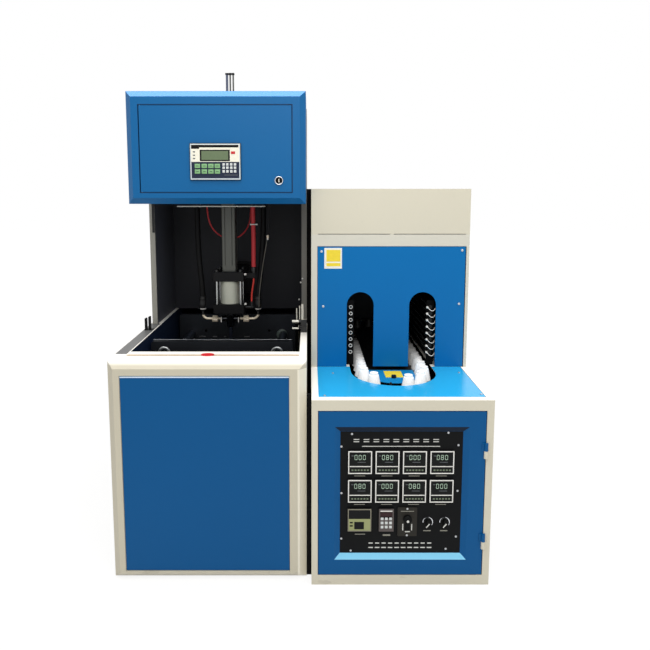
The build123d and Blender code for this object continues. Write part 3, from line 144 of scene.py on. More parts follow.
# %% [markdown]
# ## Shader maths as expressions
# A finish is easier to read as a formula than as a web of nodes. `Signal` wraps one socket and turns Python's
# operators into Math nodes, so `1 - mask` makes a node too. It holds the operators that the finishes use, with their
# reflected forms.


# %% A socket with arithmetic
class Signal:
    """One output socket, with arithmetic that adds Math nodes."""

    def __init__(self, finish, socket):
        self.finish, self.socket = finish, socket

    def maths(self, operation, *values):
        return self.finish.node("ShaderNodeMath", {"operation": operation}, dict(enumerate(values)))

    def __add__(self, other):
        return self.maths("ADD", self, other)

    def __sub__(self, other):
        return self.maths("SUBTRACT", self, other)

    def __rsub__(self, other):
        return self.maths("SUBTRACT", other, self)

    def __mul__(self, other):
        return self.maths("MULTIPLY", self, other)

    def __gt__(self, other):
        return self.maths("GREATER_THAN", self, other)

    def __lt__(self, other):
        return self.maths("LESS_THAN", self, other)

    __radd__, __rmul__ = __add__, __mul__


# %% [markdown]
# `Finish` makes a material around one Principled shader and keeps it in `finishes` under its name. Its `node` method
# makes any other node from a type, its settings and its sockets. Patterns read Object coordinates: they stay on the
# piece when it moves, and they don't need the surface to be unfolded first.

# %% A material made by calls
finishes = {}


class Finish:
    """A material whose nodes are made by calls."""

    def __init__(self, name, colour, roughness, metallic=0.0, gloss=0.5):
        self.material = finishes[name] = bpy.data.materials.new(name)
        self.material.use_nodes = True
        self.tree = self.material.node_tree
        self.tree.nodes.clear()
        self.output = self.tree.nodes.new("ShaderNodeOutputMaterial")
        self.shader = self.tree.nodes.new("ShaderNodeBsdfPrincipled")
        self.tree.links.new(self.shader.outputs[0], self.output.inputs[0])
        self.material.diffuse_color = (*colour, 1)
        self.set("Base Color", (*colour, 1))
        self.set("Roughness", roughness)
        self.set("Metallic", metallic)
        self.set("Specular IOR Level", gloss)

    def node(self, kind, settings=None, inputs=None, output=0):
        made = self.tree.nodes.new(kind)
        for name, value in (settings or {}).items():
            setattr(made, name, value)
        for name, value in (inputs or {}).items():
            self.feed(made.inputs[name], value)
        return Signal(self, made.outputs[output])

    def feed(self, socket, value):
        if isinstance(value, Signal):
            self.tree.links.new(value.socket, socket)
        else:
            socket.default_value = value

    def set(self, name, value):
        self.feed(self.shader.inputs[name], value)

    def place(self):
        return self.node("ShaderNodeTexCoord", output="Object")

    def axes(self):
        split = self.node("ShaderNodeSeparateXYZ", inputs={0: self.place()})
        return [Signal(self, split.socket.node.outputs[axis]) for axis in range(3)]

    def tilt(self):
        """How far the surface looks up: 1 on a table, 0 on a wall, -1 on a ceiling."""
        split = self.node("ShaderNodeSeparateXYZ", inputs={0: self.node("ShaderNodeTexCoord", output="Normal")})
        return Signal(self, split.socket.node.outputs[2])

    def ramp(self, value, low, high):
        """Nought at low, one at high, and even between them."""
        return self.node("ShaderNodeMapRange", inputs={0: value, 1: low, 2: high})

    def noise(self, scale, detail=3.0, stretch=(1, 1, 1)):
        place = self.node("ShaderNodeMapping", inputs={"Vector": self.place(), "Scale": stretch})
        return self.node("ShaderNodeTexNoise", inputs={"Vector": place, "Scale": scale, "Detail": detail})

    def mix(self, share, first, second):
        made = self.node("ShaderNodeMix", {"data_type": "RGBA"}).socket.node
        self.feed(made.inputs["Factor"], share)
        for socket, value in zip([s for s in made.inputs if s.type == "RGBA"], (first, second)):
            self.feed(socket, (*value, 1) if isinstance(value, tuple) else value)
        return Signal(self, [s for s in made.outputs if s.type == "RGBA"][0])

    def bump(self, height, strength, distance):
        normal = self.node("ShaderNodeBump", inputs={"Strength": strength, "Distance": distance, "Height": height})
        self.set("Normal", normal)


# %% Colours as a paint card gives them
def paint(red, green, blue):
    """A colour from 0 to 255, turned into the linear light that Blender works in."""
    parts = [shade / 255 for shade in (red, green, blue)]
    return tuple(part / 12.92 if part <= 0.04045 else ((part + 0.055) / 1.055) ** 2.4 for part in parts)


def darker(colour, share):
    return tuple(min(1.0, v * share) for v in colour)


print("cream in linear light", [round(v, 3) for v in paint(208, 201, 180)])

# %% [markdown]
# ## Powder coat
# Both cabinets are sheet steel with a baked powder coat. Close up it has a fine orange-peel ripple, its gloss varies
# softly, and dust settles in a faint bloom. One function makes it for every colour, so that all coats look like one
# workshop's. The coat is not very glossy: its specular level is low, because a shiny one would wash out the blue.
# Some cases are dark inside, so the function also takes boxes inside which the paint changes, for all faces or for
# those that look up or down. A rim that is lit brighter towards the top gets a painted highlight, a colour that comes
# in with height.


# %% Powder coat
def inside(finish, low, high):
    """One within a box of the piece's own space, nought outside."""
    share = 1.0
    for axis, bottom, top in zip(finish.axes(), low, high):
        share = (axis > bottom) * (axis < top) * share
    return share


def powder_coat(name, colour, roughness=0.42, regions=(), top_light=None, gloss=0.22):
    finish = Finish(name, colour, roughness, gloss=gloss)
    cloud = finish.noise(2.2, 4.0)
    dust = finish.noise(34.0, 5.0)
    scuff = finish.noise(9.0, 6.0, (1, 1, 2.5))
    height = finish.axes()[2]
    tone = finish.mix(cloud * 0.5, darker(colour, 0.93), darker(colour, 1.07))
    tone = finish.mix((dust > 0.66) * 0.08, tone, darker(colour, 0.8))
    tone = finish.mix((scuff > 0.6) * (height < 0.045) * 0.3, tone, darker(colour, 0.6))
    # Painted highlight: the top of a rim turns paler towards its edge.
    if top_light:
        top_highlight, low, high = top_light
        tone = finish.mix(finish.ramp(height, low, high), tone, top_highlight)
    for inner, low, high, *looks in regions:
        share = inside(finish, low, high)
        if looks:
            share = share * (finish.tilt() > 0.3 if looks == ["up"] else finish.tilt() < -0.3)
        tone = finish.mix(share, tone, inner)
    finish.set("Base Color", tone)
    finish.set("Roughness", roughness + (cloud - 0.5) * 0.16 + (dust - 0.5) * 0.06)
    finish.bump(finish.noise(420.0, 2.0), 0.1, 0.0006)


def inner_box(node, *walls):
    """The space inside a case, from how far each wall stands in: left, right, front, back, bottom, top."""
    low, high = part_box(node)
    return [low[n] + walls[2 * n] for n in range(3)], [high[n] - walls[2 * n + 1] for n in range(3)]


# %% [markdown]
# Each case gets its coat, with the dark inside that shows through its openings. Other places that differ get a region
# too. The control door has a bevelled recess: its lower bevel lies open to the light and is painted a paler blue as
# light, and the upper one is always in shade and is painted its darkest tone as shade. The base's right bevel, the
# head's upper bevel, the column's left strip and the bay's left wall are painted paler than the rest, as the light
# that falls on them. The rim left of the well is painted grey as shade, and the tray has a black knob and is painted
# dark as the shade under the oven.

# %% Places where the paint changes
cream, blue, base_blue = paint(208, 202, 183), paint(8, 92, 147), paint(2, 81, 136)
# The near-white is a painted highlight that the rims of the base and heater get towards their tops.
soot_and_shade, top_highlight = paint(20, 20, 22), paint(252, 247, 236)
half_wall, past_face, open_foot, bevel_tall = 0.0015, 0.001, -0.1, 0.03
blower_inner = inner_box("blower_frame", 0.0535, 0.0285, 0.1535, 0.0385, 0.004, half_wall)
heater_inner = inner_box("heater_base", half_wall, half_wall, 0.0165, *[half_wall] * 3)
oven_inner, cover_inner = [inner_box(node, *[half_wall] * 4, open_foot, half_wall)
                           for node in ("oven_cabinet", "oven_top_cover")]
base_low, base_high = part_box("blower_frame")
heater_low, heater_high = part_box("heater_base")
panel_low, panel_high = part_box("control_panel")
door_low, door_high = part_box("control_door")
tray_low, tray_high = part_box("centre_cover")
head_low, head_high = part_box("head_box")
lining_low, lining_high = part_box("bay_lining")
column_low, column_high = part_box("upper_frame")
oven_front = front("oven_front_plate")
recess_left, recess_right = panel_low.x - 0.024, panel_high.x + 0.024
recess_front, recess_back = panel_low.y - 0.0118, panel_low.y - 0.0003
# Painted light and shade: the lower bevel of the recess is painted pale blue as light, the upper one near-black as
# shade.
lit_low_bevel = (paint(132, 202, 232), (recess_left, recess_front, panel_low.z - bevel_tall),
             (recess_right, recess_back, panel_low.z), "up")
shaded_high_bevel = (paint(2, 24, 46), (recess_left, recess_front, panel_high.z),
              (recess_right, recess_back, panel_high.z + bevel_tall), "down")
# Painted shade: the tray is painted with the cases' near-black where it lies under the oven. The knob is black itself.
tray_shade = (soot_and_shade, (tray_low.x - 0.1, oven_front + 0.004, 0.6), (tray_high.x + 0.1, tray_high.y + 0.1, 0.9))
tray_knob = (soot_and_shade, (0.402, -0.5, 0.7622), (0.432, -0.46, 0.78))
# Painted light: the base's right bevel is painted paler, as the light that falls on it.
lit_right_bevel = (paint(226, 220, 202), (base_high.x - 0.036, base_low.y - past_face, base_low.z),
               (base_high.x + past_face, base_low.y + 0.045, base_high.z - bevel_tall))
# Painted shade: the rim left of the well is painted grey.
shaded_left_rim = (paint(98, 98, 97), (base_low.x + 0.002, -0.662, base_high.z - 0.0015),
            (base_low.x + 0.0505, -0.1, base_high.z + 0.01))
# Painted highlight: the head's upper bevel, which looks up, is painted a paler blue.
lit_head_bevel = (paint(70, 134, 195), (head_low.x, head_low.y - past_face, head_high.z - 0.04),
              (head_high.x, head_low.y + 0.03, head_high.z - 0.001), "up")
# Painted light: the bay's left wall is painted paler than the rest of the lining.
lit_left_wall = (paint(80, 82, 90), (lining_low.x - past_face, lining_low.y, lining_low.z),
             (lining_low.x + 0.003, lining_high.y - 0.004, lining_high.z))
# Painted light: the column's left strip is painted paler than the rest of the column.
lit_left_column = (paint(150, 148, 139), (column_low.x - past_face, column_low.y - past_face, column_low.z),
               (-0.70, column_low.y + 0.003, column_high.z))
print("recess of the control panel", round(recess_left, 3), "to", round(recess_right, 3))

# %% Coats of both cabinets
# Painted light and shade: the blues are one paint in lit and shaded copies, darker on the base and door, lighter on
# the oven's plate, and much lighter on the shelf and tray, whose tops face the light. The base's cream is painted
# darker than the heater's as shade, and the column's grey is the cream painted as the shade under the head.
powder_coat("cream_base", paint(198, 191, 171), regions=[lit_right_bevel, shaded_left_rim, (paint(24, 36, 60), *blower_inner)],
            top_light=(top_highlight, base_high.z - 0.018, base_high.z - 0.003))
powder_coat("cream_heater", cream, regions=[(soot_and_shade, *heater_inner)],
            top_light=(top_highlight, heater_high.z - 0.002, heater_high.z - 0.0005))
powder_coat("cream_oven", paint(208, 204, 190), regions=[(paint(70, 74, 78), *oven_inner)])
powder_coat("cream_cover", cream, regions=[(soot_and_shade, *cover_inner)])
powder_coat("cream_lid", cream)
powder_coat("blue_head", blue, 0.38, regions=[lit_head_bevel])
powder_coat("blue_base", base_blue, 0.38, gloss=0.14)
powder_coat("blue_door", base_blue, 0.38, regions=[lit_low_bevel, shaded_high_bevel], gloss=0.14)
powder_coat("blue_plate", paint(2, 105, 169), 0.36, gloss=0.16)
powder_coat("blue_shelf", paint(40, 164, 218), 0.2, gloss=0.4)
powder_coat("blue_tray", paint(20, 128, 186), 0.3, regions=[tray_knob, tray_shade])
powder_coat("column_coat", paint(133, 131, 125), regions=[lit_left_column])
powder_coat("lining_coat", paint(42, 43, 48), 0.5, regions=[lit_left_wall])
powder_coat("black_coat", paint(15, 15, 17), 0.4, gloss=0.15)
powder_coat("rack_coat", paint(8, 8, 9), 0.6, gloss=0.08)
print("coats", sorted(finishes))

# %% [markdown]
# ## Metals
# Bare metal is told apart by its tool marks. Machined steel shows fine brushed lines along one way, cast iron is
# grainy and oily, drawn aluminium has long faint streaks, and chrome is smooth with only a little haze. The lines are
# a noise that is stretched along the way of the tool.


# %% Brushed metal
def brushed(name, colour, roughness, stretch, metallic=1.0, depth=0.08):
    finish = Finish(name, colour, roughness, metallic)
    lines = finish.noise(60.0, 4.0, stretch)
    stain = finish.noise(7.0, 4.0)
    finish.set("Base Color", finish.mix(lines * 0.6 + stain * 0.3, darker(colour, 0.82), darker(colour, 1.1)))
    finish.set("Roughness", roughness + (lines - 0.5) * 0.2 + (stain - 0.5) * 0.14)
    finish.bump(lines, depth, 0.0008)


brushed("machined_steel", paint(140, 142, 142), 0.36, (1, 12, 1))
brushed("rod_steel", paint(84, 90, 106), 0.3, (1, 1, 14))
brushed("platen_steel", paint(62, 65, 70), 0.45, (14, 1, 1))
brushed("profile_aluminium", paint(86, 87, 82), 0.42, (8, 8, 0.4), 0.6)
brushed("barrel_aluminium", paint(206, 208, 192), 0.45, (8, 8, 0.5), 0.25)
brushed("chain_steel", paint(64, 62, 60), 0.5, (1, 1, 6))
print("with metals", len(finishes))

# %% [markdown]
# Chrome and brass are nearly smooth. The air fittings are brass only where the pipes and union nuts show: their
# flared tails have black sleeves, so the height decides which of the two a point gets.


# %% Chrome, brass and cast iron
def smooth_metal(name, colour, roughness):
    finish = Finish(name, colour, roughness, 1.0)
    haze = finish.noise(18.0, 4.0)
    finish.set("Roughness", roughness + (haze > 0.55) * 0.06 + haze * 0.05)
    finish.set("Base Color", finish.mix(haze, darker(colour, 0.93), colour))
    return finish


def fitting_brass():
    colour = paint(244, 230, 204)
    finish = smooth_metal("fitting_brass", colour, 0.28)
    sleeve = finish.axes()[2] > 0.9535
    bare = finish.mix(finish.noise(24.0, 3.0), darker(colour, 0.85), colour)
    finish.set("Base Color", finish.mix(sleeve, bare, paint(20, 20, 21)))
    finish.set("Metallic", (1 - sleeve) * 0.25)
    finish.set("Roughness", 0.3 + sleeve * 0.2)


def cast(name, colour):
    finish = Finish(name, colour, 0.55, 0.6, gloss=0.3)
    grain = finish.noise(240.0, 4.0)
    oil = finish.noise(9.0, 3.0)
    finish.set("Base Color", finish.mix(grain * 0.7, darker(colour, 0.7), darker(colour, 1.2)))
    finish.set("Roughness", 0.62 - (oil > 0.52) * 0.2)
    finish.bump(grain, 0.3, 0.0012)


def tie_rod_steel():
    """Bright rods beside the barrel, and blackened nuts and ends above and below it."""
    finish = smooth_metal("tie_rod_steel", paint(176, 178, 178), 0.25)
    height = finish.axes()[2]
    ends = (height > 1.137) + (height < 1.017)
    bright = finish.mix(finish.noise(40.0), paint(160, 162, 162), paint(186, 188, 188))
    finish.set("Base Color", finish.mix(ends, bright, paint(20, 20, 21)))
    finish.set("Metallic", 1 - ends)
    finish.set("Roughness", 0.25 + ends * 0.25)


smooth_metal("bright_chrome", paint(220, 222, 226), 0.12)
tie_rod_steel()
smooth_metal("valve_black", paint(58, 59, 62), 0.22)
fitting_brass()
cast("cast_iron", paint(36, 37, 40))
print("with smooth and cast metals", len(finishes))

# %% [markdown]
# ## Plastics and rubber
# Moulded plastic gets its look from a faint spark-eroded grain. The holders are a glossier white nylon. Those on the
# far run of the loop, deep in the oven, are painted darker as shade, and a faint glow on the others is a painted
# highlight that keeps them bright white. Hoses are braided rubber, so a fine diagonal ripple runs round them. The grey
# lead is a light sheath below its joint and a dark one above it.


# %% Moulded plastic
def moulded(name, colour, roughness, grain=0.12, gloss=0.25):
    finish = Finish(name, colour, roughness, gloss=gloss)
    texture = finish.noise(520.0, 2.0)
    shine = finish.noise(11.0, 4.0)
    finish.set("Base Color", finish.mix(shine * 0.6, darker(colour, 0.88), darker(colour, 1.08)))
    finish.set("Roughness", roughness + (shine - 0.5) * 0.18)
    finish.bump(texture, grain, 0.0005)


def holder_nylon():
    white = (0.98, 0.98, 0.97)
    finish = Finish("holder_white", white, 0.3, gloss=0.35)
    # Painted shade: the holders darken towards the back of the oven. The glow on the near ones is a painted highlight.
    oven_shade = finish.ramp(finish.axes()[1], -0.42, 0.05)
    clean = finish.mix(finish.noise(60.0), darker(white, 0.95), white)
    finish.set("Base Color", finish.mix(oven_shade, clean, paint(70, 66, 60)))
    finish.set("Emission Color", finish.mix(oven_shade, white, (0, 0, 0)))
    finish.set("Emission Strength", 0.15)
    finish.bump(finish.noise(520.0, 2.0), 0.05, 0.0004)


def switch_metal():
    """Bright rods on a black switch body, told apart by their place."""
    finish = Finish("switch_metal", paint(214, 210, 198), 0.35, 0.5)
    x, _, z = finish.axes()
    body = (x > -0.011) * (z < 0.983)
    bright = finish.mix(finish.noise(50.0), paint(180, 178, 168), paint(226, 222, 210))
    finish.set("Base Color", finish.mix(body, bright, paint(24, 24, 25)))
    finish.set("Metallic", 0.5 - body * 0.5)
    finish.set("Roughness", 0.35 + finish.noise(80.0) * 0.1)


moulded("panel_black", paint(13, 14, 15), 0.5, gloss=0.1)
moulded("case_black", paint(10, 11, 11), 0.5, gloss=0.1)
moulded("frame_white", paint(232, 230, 224), 0.4)
moulded("meter_rim", paint(134, 130, 114), 0.4)
moulded("speed_grey", paint(46, 44, 40), 0.5, gloss=0.1)
moulded("timer_grey", paint(88, 80, 78), 0.45)
moulded("meter_olive", paint(152, 157, 108), 0.45)
moulded("gear_grey", paint(120, 124, 124), 0.5)
moulded("seal_rubber", paint(12, 12, 13), 0.7, 0.3, 0.1)
holder_nylon()
switch_metal()
print("with plastics", len(finishes))


# %% Braided rubber
def braided(name, colour, roughness=0.42, upper=None, joint=0.0, gloss=0.3):
    finish = Finish(name, colour, roughness, gloss=gloss)
    x, y, z = finish.axes()
    winding = (x * 9 + y * 9 + z * 26) * 60
    weave = winding.maths("SINE", winding) * 0.5 + 0.5
    tone = finish.mix(weave * 0.35, colour, darker(colour, 0.72))
    finish.set("Base Color", finish.mix(z > joint, tone, upper) if upper else tone)
    finish.set("Roughness", roughness + weave * 0.1)
    finish.bump(weave, 0.12, 0.0006)


lead_joint = 1.363
braided("red_braid", paint(204, 58, 64))
braided("red_tube", paint(236, 72, 62), 0.3)
braided("black_braid", paint(12, 12, 13), 0.55, gloss=0.14)
braided("grey_sheath", paint(112, 108, 100), 0.5, paint(16, 16, 17), lead_joint)
print("with rubber", len(finishes))

# %% [markdown]
# ## Lamps
# A heating lamp is clouded quartz with a ceramic cap at each end. One finish serves both, because the distance along
# the lamp tells where the caps are.


# %% Quartz and ceramic
def lamp_quartz():
    finish = Finish("lamp_quartz", paint(60, 62, 62), 0.2, gloss=0.3)
    low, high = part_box("heating_lamps")
    along = finish.axes()[1]
    cap_long = 0.026
    cap = (along < low.y + cap_long) + (along > high.y - cap_long)
    glass = finish.mix(finish.noise(40.0, 3.0), paint(34, 35, 35), paint(64, 66, 66))
    finish.set("Base Color", finish.mix(cap, glass, paint(24, 24, 24)))
    finish.set("Roughness", 0.2 + cap * 0.4)


lamp_quartz()
print("finishes", len(finishes))

# %% [markdown]
# ## Dress the solid pieces
# Every solid piece gets one finish. A table of names keeps the choice in one place, and the print shows whether a
# piece was forgotten.

# %% Finishes of the solid pieces
dressing = {
    "cream_base": "blower_frame",
    "cream_lid": "clamp_cover",
    "cream_heater": "heater_base",
    "cream_oven": "oven_cabinet",
    "cream_cover": "oven_top_cover",
    "blue_head": "head_box head_door",
    "blue_base": "blower_front_panel",
    "blue_door": "control_door",
    "blue_plate": "oven_front_plate",
    "blue_shelf": "heater_shelf",
    "blue_tray": "centre_cover",
    "column_coat": "upper_frame",
    "lining_coat": "bay_lining",
    "black_coat": "seal_cylinder_heads cylinder_bracket stretch_yoke guard_posts",
    "rack_coat": "lamp_racks",
    "seal_rubber": "cabinet_seal",
    "machined_steel": "lifting_eyes hinge_pins",
    "tie_rod_steel": "seal_tie_rods",
    "switch_metal": "position_switch",
    "rod_steel": "stretch_rod blow_nozzle tie_bars clamp_rod",
    "platen_steel": "front_platen rear_platen",
    "profile_aluminium": "stretch_cylinder",
    "barrel_aluminium": "seal_cylinder_barrel",
    "valve_black": "blow_manifold",
    "fitting_brass": "air_fittings",
    "cast_iron": "support_plates clamp_cylinder loop_frame sprockets drive_motor",
    "chain_steel": "carrier_chain",
    "panel_black": "control_panel operator_panel",
    "case_black": "lock_ring lock_plug temperature_controllers panel_meters speed_knob speed_switch left_selector "
                  "right_selector",
    "speed_grey": "speed_controller",
    "gear_grey": "control_gear",
    "holder_white": "preform_holders",
    "lamp_quartz": "heating_lamps",
    "red_braid": "red_loop_hose red_feed_hose",
    "red_tube": "red_air_tube",
    "black_braid": "left_blow_hose right_blow_hose",
    "grey_sheath": "grey_lead",
}


def wear(piece, finish):
    piece.data.materials.clear()
    piece.data.materials.append(finishes[finish])


for finish, names in dressing.items():
    for name in names.split():
        wear(nodes[name], finish)
        if name in hoses:
            wear(hoses[name], finish)
dressed = {name for names in dressing.values() for name in names.split()}
print("left undressed", sorted(set(nodes) - dressed))

# %% [markdown]
# ## Tools for new pieces
# New pieces start from primitives, as by hand. `shape` clears the selection first, because an operator acts on all
# that is selected, then puts the primitive's place into its mesh and opens it for editing. `pick_facing` selects faces
# in code by the way they look, as the mouse would do. `done` gives the piece its finish and makes it ride on a body of
# the machine. Most finishes always belong to the same slot, so a table holds the usual one.

# %% Usual slots
usual_slots = {finish: slot for slot, names in {
    "black_plastic": "panel_black window_black window_red screen_green gland_black",
    "white_plastic": "print_white print_dim print_grey digit_green key_white nylon_white label_white",
    "grey_plastic": "timer_grey meter_olive key_pale",
    "dark_blue_plastic": "pad_silver pad_cream pad_navy key_green key_print",
    "cream_paint": "frame_white meter_rim plate_yellow groove_tan cream_lid",
    "blue_paint": "gasket_blue lip_blue",
    "dark_paint": "seam_grey",
    "grey_paint": "collar_green column_coat",
    "red_rubber": "mark_red badge_red",
    "steel": "screw_and_highlight_steel",
    "brass": "union_brass",
    "chrome": "bright_chrome",
}.items() for finish in names.split()}
print("finishes of new pieces", len(usual_slots))

# %% Shape, pick and finish a piece
cube, cylinder = bpy.ops.mesh.primitive_cube_add, bpy.ops.mesh.primitive_cylinder_add
up, down = (0, 0, 1), (0, 0, -1)
placed = {}


def shape(primitive, **settings):
    bpy.ops.object.select_all(action="DESELECT")
    primitive(**settings)
    bpy.ops.object.transform_apply(location=True, rotation=True, scale=True)
    bpy.ops.object.mode_set(mode="EDIT")


def pick_facing(*directions, closely=0.9):
    bpy.ops.mesh.select_mode(type="FACE")
    bpy.ops.mesh.select_all(action="DESELECT")
    mesh = bmesh.from_edit_mesh(bpy.context.object.data)
    for face in mesh.faces:
        face.select_set(any(face.normal.dot(Vector(direction)) > closely for direction in directions))
    bmesh.update_edit_mesh(bpy.context.object.data)


def bevel_all(width, segments):
    bpy.ops.mesh.select_all(action="SELECT")
    bpy.ops.mesh.bevel(offset=width, segments=segments, affect="EDGES")


def done(name, finish, body="frame", slot=None):
    piece = bpy.context.object
    bpy.ops.object.mode_set(mode="OBJECT")
    bpy.ops.object.shade_smooth_by_angle(angle=math.radians(35))
    piece.name = piece.data.name = name
    wear(piece, finish)
    placed[name] = body, slot or usual_slots[finish]
    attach(piece, body)
    piece.select_set(False)
    return piece


# %% [markdown]
# Many parts of a machine's face are thin plates: windows, bezels, printed bars, key caps. `slabs` makes plates from
# cubes in one mesh and bevels their edges, because a sharp edge never catches light as a real one does. What repeats
# is modelled once, and `copy_to` copies it with a mesh of its own for each new place.


# %% Plates and copies
def slabs(name, blocks, finish, body="frame", edge=0.0002, segments=1, slot=None):
    """Plates given by their low and high corners, in one mesh, with bevelled edges."""
    boxes = [{"size": 1, "location": [(a + b) / 2 for a, b in zip(low, high)],
              "scale": [b - a for a, b in zip(low, high)]} for low, high in blocks]
    shape(cube, **boxes[0])
    for box in boxes[1:]:
        cube(**box)
    bevel_all(edge, segments)
    bpy.ops.mesh.normals_make_consistent(inside=False)
    return done(name, finish, body, slot)


def copy_to(piece, places):
    """Copies of a finished piece, moved from the first place to each of the others."""
    body, slot = placed[piece.name]
    for number, place in enumerate(places[1:], 2):
        mesh = piece.data.copy()
        mesh.transform(Matrix.Translation(Vector(place) - Vector(places[0])))
        copy = bpy.data.objects.new(f"{piece.name}_{number}", mesh)
        bpy.context.scene.collection.objects.link(copy)
        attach(copy, body)
    return len(places)


# %% [markdown]
# A round screw head is a short cylinder whose face is domed by two insets, with a socket sunk into its middle. A word
# tells which way it looks, so the same steps serve a head on a front and one on a top. The first place gets the head
# that is modelled, and the others get copies.


# %% Screw heads and rings
ways = {"front": ((0, -1, 0), (math.pi / 2, 0, 0)), "back": ((0, 1, 0), (-math.pi / 2, 0, 0)), "top": (up, (0, 0, 0))}


def round_head(name, way, places, finish, body="frame", *, radius, tall, sides=20, socket=0.45, slot=None):
    """Domed heads whose feet are at the places, with a sunk socket of the given share of their radius."""
    outward, turn = ways[way]
    shape(cylinder, vertices=sides, radius=radius, depth=tall, rotation=turn,
          location=Vector(places[0]) + Vector(outward) * tall / 2)
    pick_facing(outward)
    bpy.ops.mesh.inset(thickness=radius * 0.18, depth=tall * 0.18)
    bpy.ops.mesh.inset(thickness=radius * (0.82 - socket), depth=tall * 0.08)
    if socket:
        bpy.ops.mesh.inset(thickness=radius * 0.06, depth=-tall * 0.5)
    return copy_to(done(name, finish, body, slot), places)


def ring_round(name, way, place, finish, body="frame", *, radius, thick, around=32, section=10):
    """A round ring about a place."""
    shape(bpy.ops.mesh.primitive_torus_add, major_radius=radius, minor_radius=thick, major_segments=around,
          minor_segments=section, location=place, rotation=ways[way][1])
    return done(name, finish, body)


# %% [markdown]
# Small parts such as windows, prints and caps each have a colour of their own. It still varies a little over the
# surface, because no moulding or print is perfectly even. The displays glow faintly, as lit digits do.


# %% Colours of small parts
def tinted(name, colour, roughness=0.45, glow=0.0, metallic=0.0, gloss=0.3):
    finish = Finish(name, colour, roughness, metallic, gloss)
    patch = finish.noise(90.0)
    finish.set("Base Color", finish.mix(patch, darker(colour, 0.86), darker(colour, 1.04)))
    finish.set("Roughness", roughness + (patch - 0.5) * 0.14)
    if glow:
        finish.set("Emission Color", (*colour, 1))
        finish.set("Emission Strength", glow)


for name, shade in {
        "print_white": (206, 206, 200), "print_dim": (142, 140, 128), "print_grey": (92, 96, 100),
        "key_green": (126, 172, 120), "key_print": (40, 66, 52), "key_white": (206, 210, 208),
        "key_pale": (108, 120, 98), "pad_navy": (16, 28, 52), "pad_cream": (236, 232, 214),
        "pad_silver": (196, 206, 212), "gasket_blue": (4, 50, 92), "lip_blue": (216, 234, 252),
        "mark_red": (196, 36, 42), "badge_red": (206, 34, 42), "plate_yellow": (236, 210, 58),
        "label_white": (236, 234, 222), "groove_tan": (176, 150, 118), "nylon_white": (232, 230, 224)}.items():
    tinted(name, paint(*shade))
tinted("digit_green", paint(172, 196, 174), glow=0.42)
tinted("window_black", paint(10, 12, 12), 0.3, gloss=0.15)
tinted("window_red", paint(44, 14, 18), 0.3)
tinted("screen_green", paint(100, 116, 86), 0.3)
tinted("gland_black", paint(15, 15, 16), 0.35)
tinted("collar_green", paint(98, 110, 104), 0.35)
tinted("seam_grey", paint(52, 54, 58), 0.6)
tinted("screw_and_highlight_steel", paint(196, 198, 200), 0.3, metallic=0.9)
tinted("union_brass", paint(242, 226, 202), 0.35, metallic=0.15)
print("finishes with small parts", len(finishes))

# %% [markdown]
# ## Glands and ties of the hoses
# Where a hose leaves the ceiling of the bay, a cable gland grips it: a hexagon nut against the ceiling, with a tapered
# collar under it. At the lower end a crimped ferrule holds the hose on its fitting. Both are lathe-turned parts, so
# their outline is extruded ring by ring from a cylinder.


# %% Glands and ferrules
def gland(name, at, radius, top=True):
    """A nut and a tapered collar round a hose, hanging from the ceiling or standing on a fitting."""
    x, y, z = at
    way = -1 if top else 1
    nut_tall, collar_tall = 0.010, 0.008
    shape(cylinder, vertices=6 if top else 24, radius=radius * 1.5, depth=nut_tall,
          location=(x, y, z + way * nut_tall / 2))
    pick_facing((0, 0, way))
    bpy.ops.mesh.inset(thickness=radius * 0.16, depth=0.0)
    bpy.ops.mesh.extrude_region_move(TRANSFORM_OT_translate={"value": (0, 0, way * collar_tall)})
    bpy.ops.mesh.inset(thickness=radius * 0.22, depth=0.003)
    bevel_all(0.0006, 2)
    done(name, "gland_black")


for name, right, behind, radius in [
        ("left_gland", -0.168, 0.028, 0.014), ("right_gland", 0.172, 0.034, 0.014),
        ("feed_gland", 0.121, 0.005, 0.0115), ("lead_gland", 0.206, -0.004, 0.0035),
        ("loop_gland_left", -0.120, 0.046, 0.0055), ("loop_gland_right", 0.107, 0.048, 0.0055)]:
    gland(name, (axis_x + right, axis_y + behind, bay_ceiling), radius)
for name, right in [("left_ferrule", -0.143), ("right_ferrule", 0.143)]:
    gland(name, (axis_x + right, axis_y, 1.031), 0.0125, top=False)
print("glands hang at", bay_ceiling)

# %% [markdown]
# A nylon tie holds the thick feed hose and its neighbour together, the lead has a small plug joint part of the way
# up, and a black push-in fitting ends the feed hose.

# %% Tie, lead joint and push-in fitting
tie_z, feed_x, feed_y = 1.4225, axis_x + 0.122, axis_y + 0.005
joint = axis_x + 0.1965, axis_y - 0.0080
slabs("hose_tie", [
    ((feed_x - 0.0160, feed_y - 0.0150, tie_z - 0.003), (feed_x + 0.0210, feed_y + 0.0150, tie_z + 0.003)),
    ((feed_x + 0.015, feed_y - 0.018, tie_z - 0.004), (feed_x + 0.023, feed_y - 0.010, tie_z + 0.004))],
    "nylon_white", edge=0.001, segments=2)
round_head("lead_joint_nut", "top", [(*joint, lead_joint - 0.010)], "union_brass", radius=0.0062, tall=0.013,
           sides=12, socket=0)
round_head("lead_joint_cap", "top", [(*joint, lead_joint - 0.019)], "nylon_white", radius=0.0052, tall=0.009,
           sides=12, socket=0)
round_head("feed_fitting", "top", [(feed_x, axis_y, 1.176)], "gland_black", radius=0.0165, tall=0.024, sides=24,
           socket=0)
print("joint at height", lead_joint)

# %% [markdown]
# ## Trim of the bay
# The lining is folded sheet: a pale flange with small screws closes its ceiling at the front, the back wall shows
# the seams of its sheets, and a black trim covers the left column's upper edge. Lines this thin are proud strips.

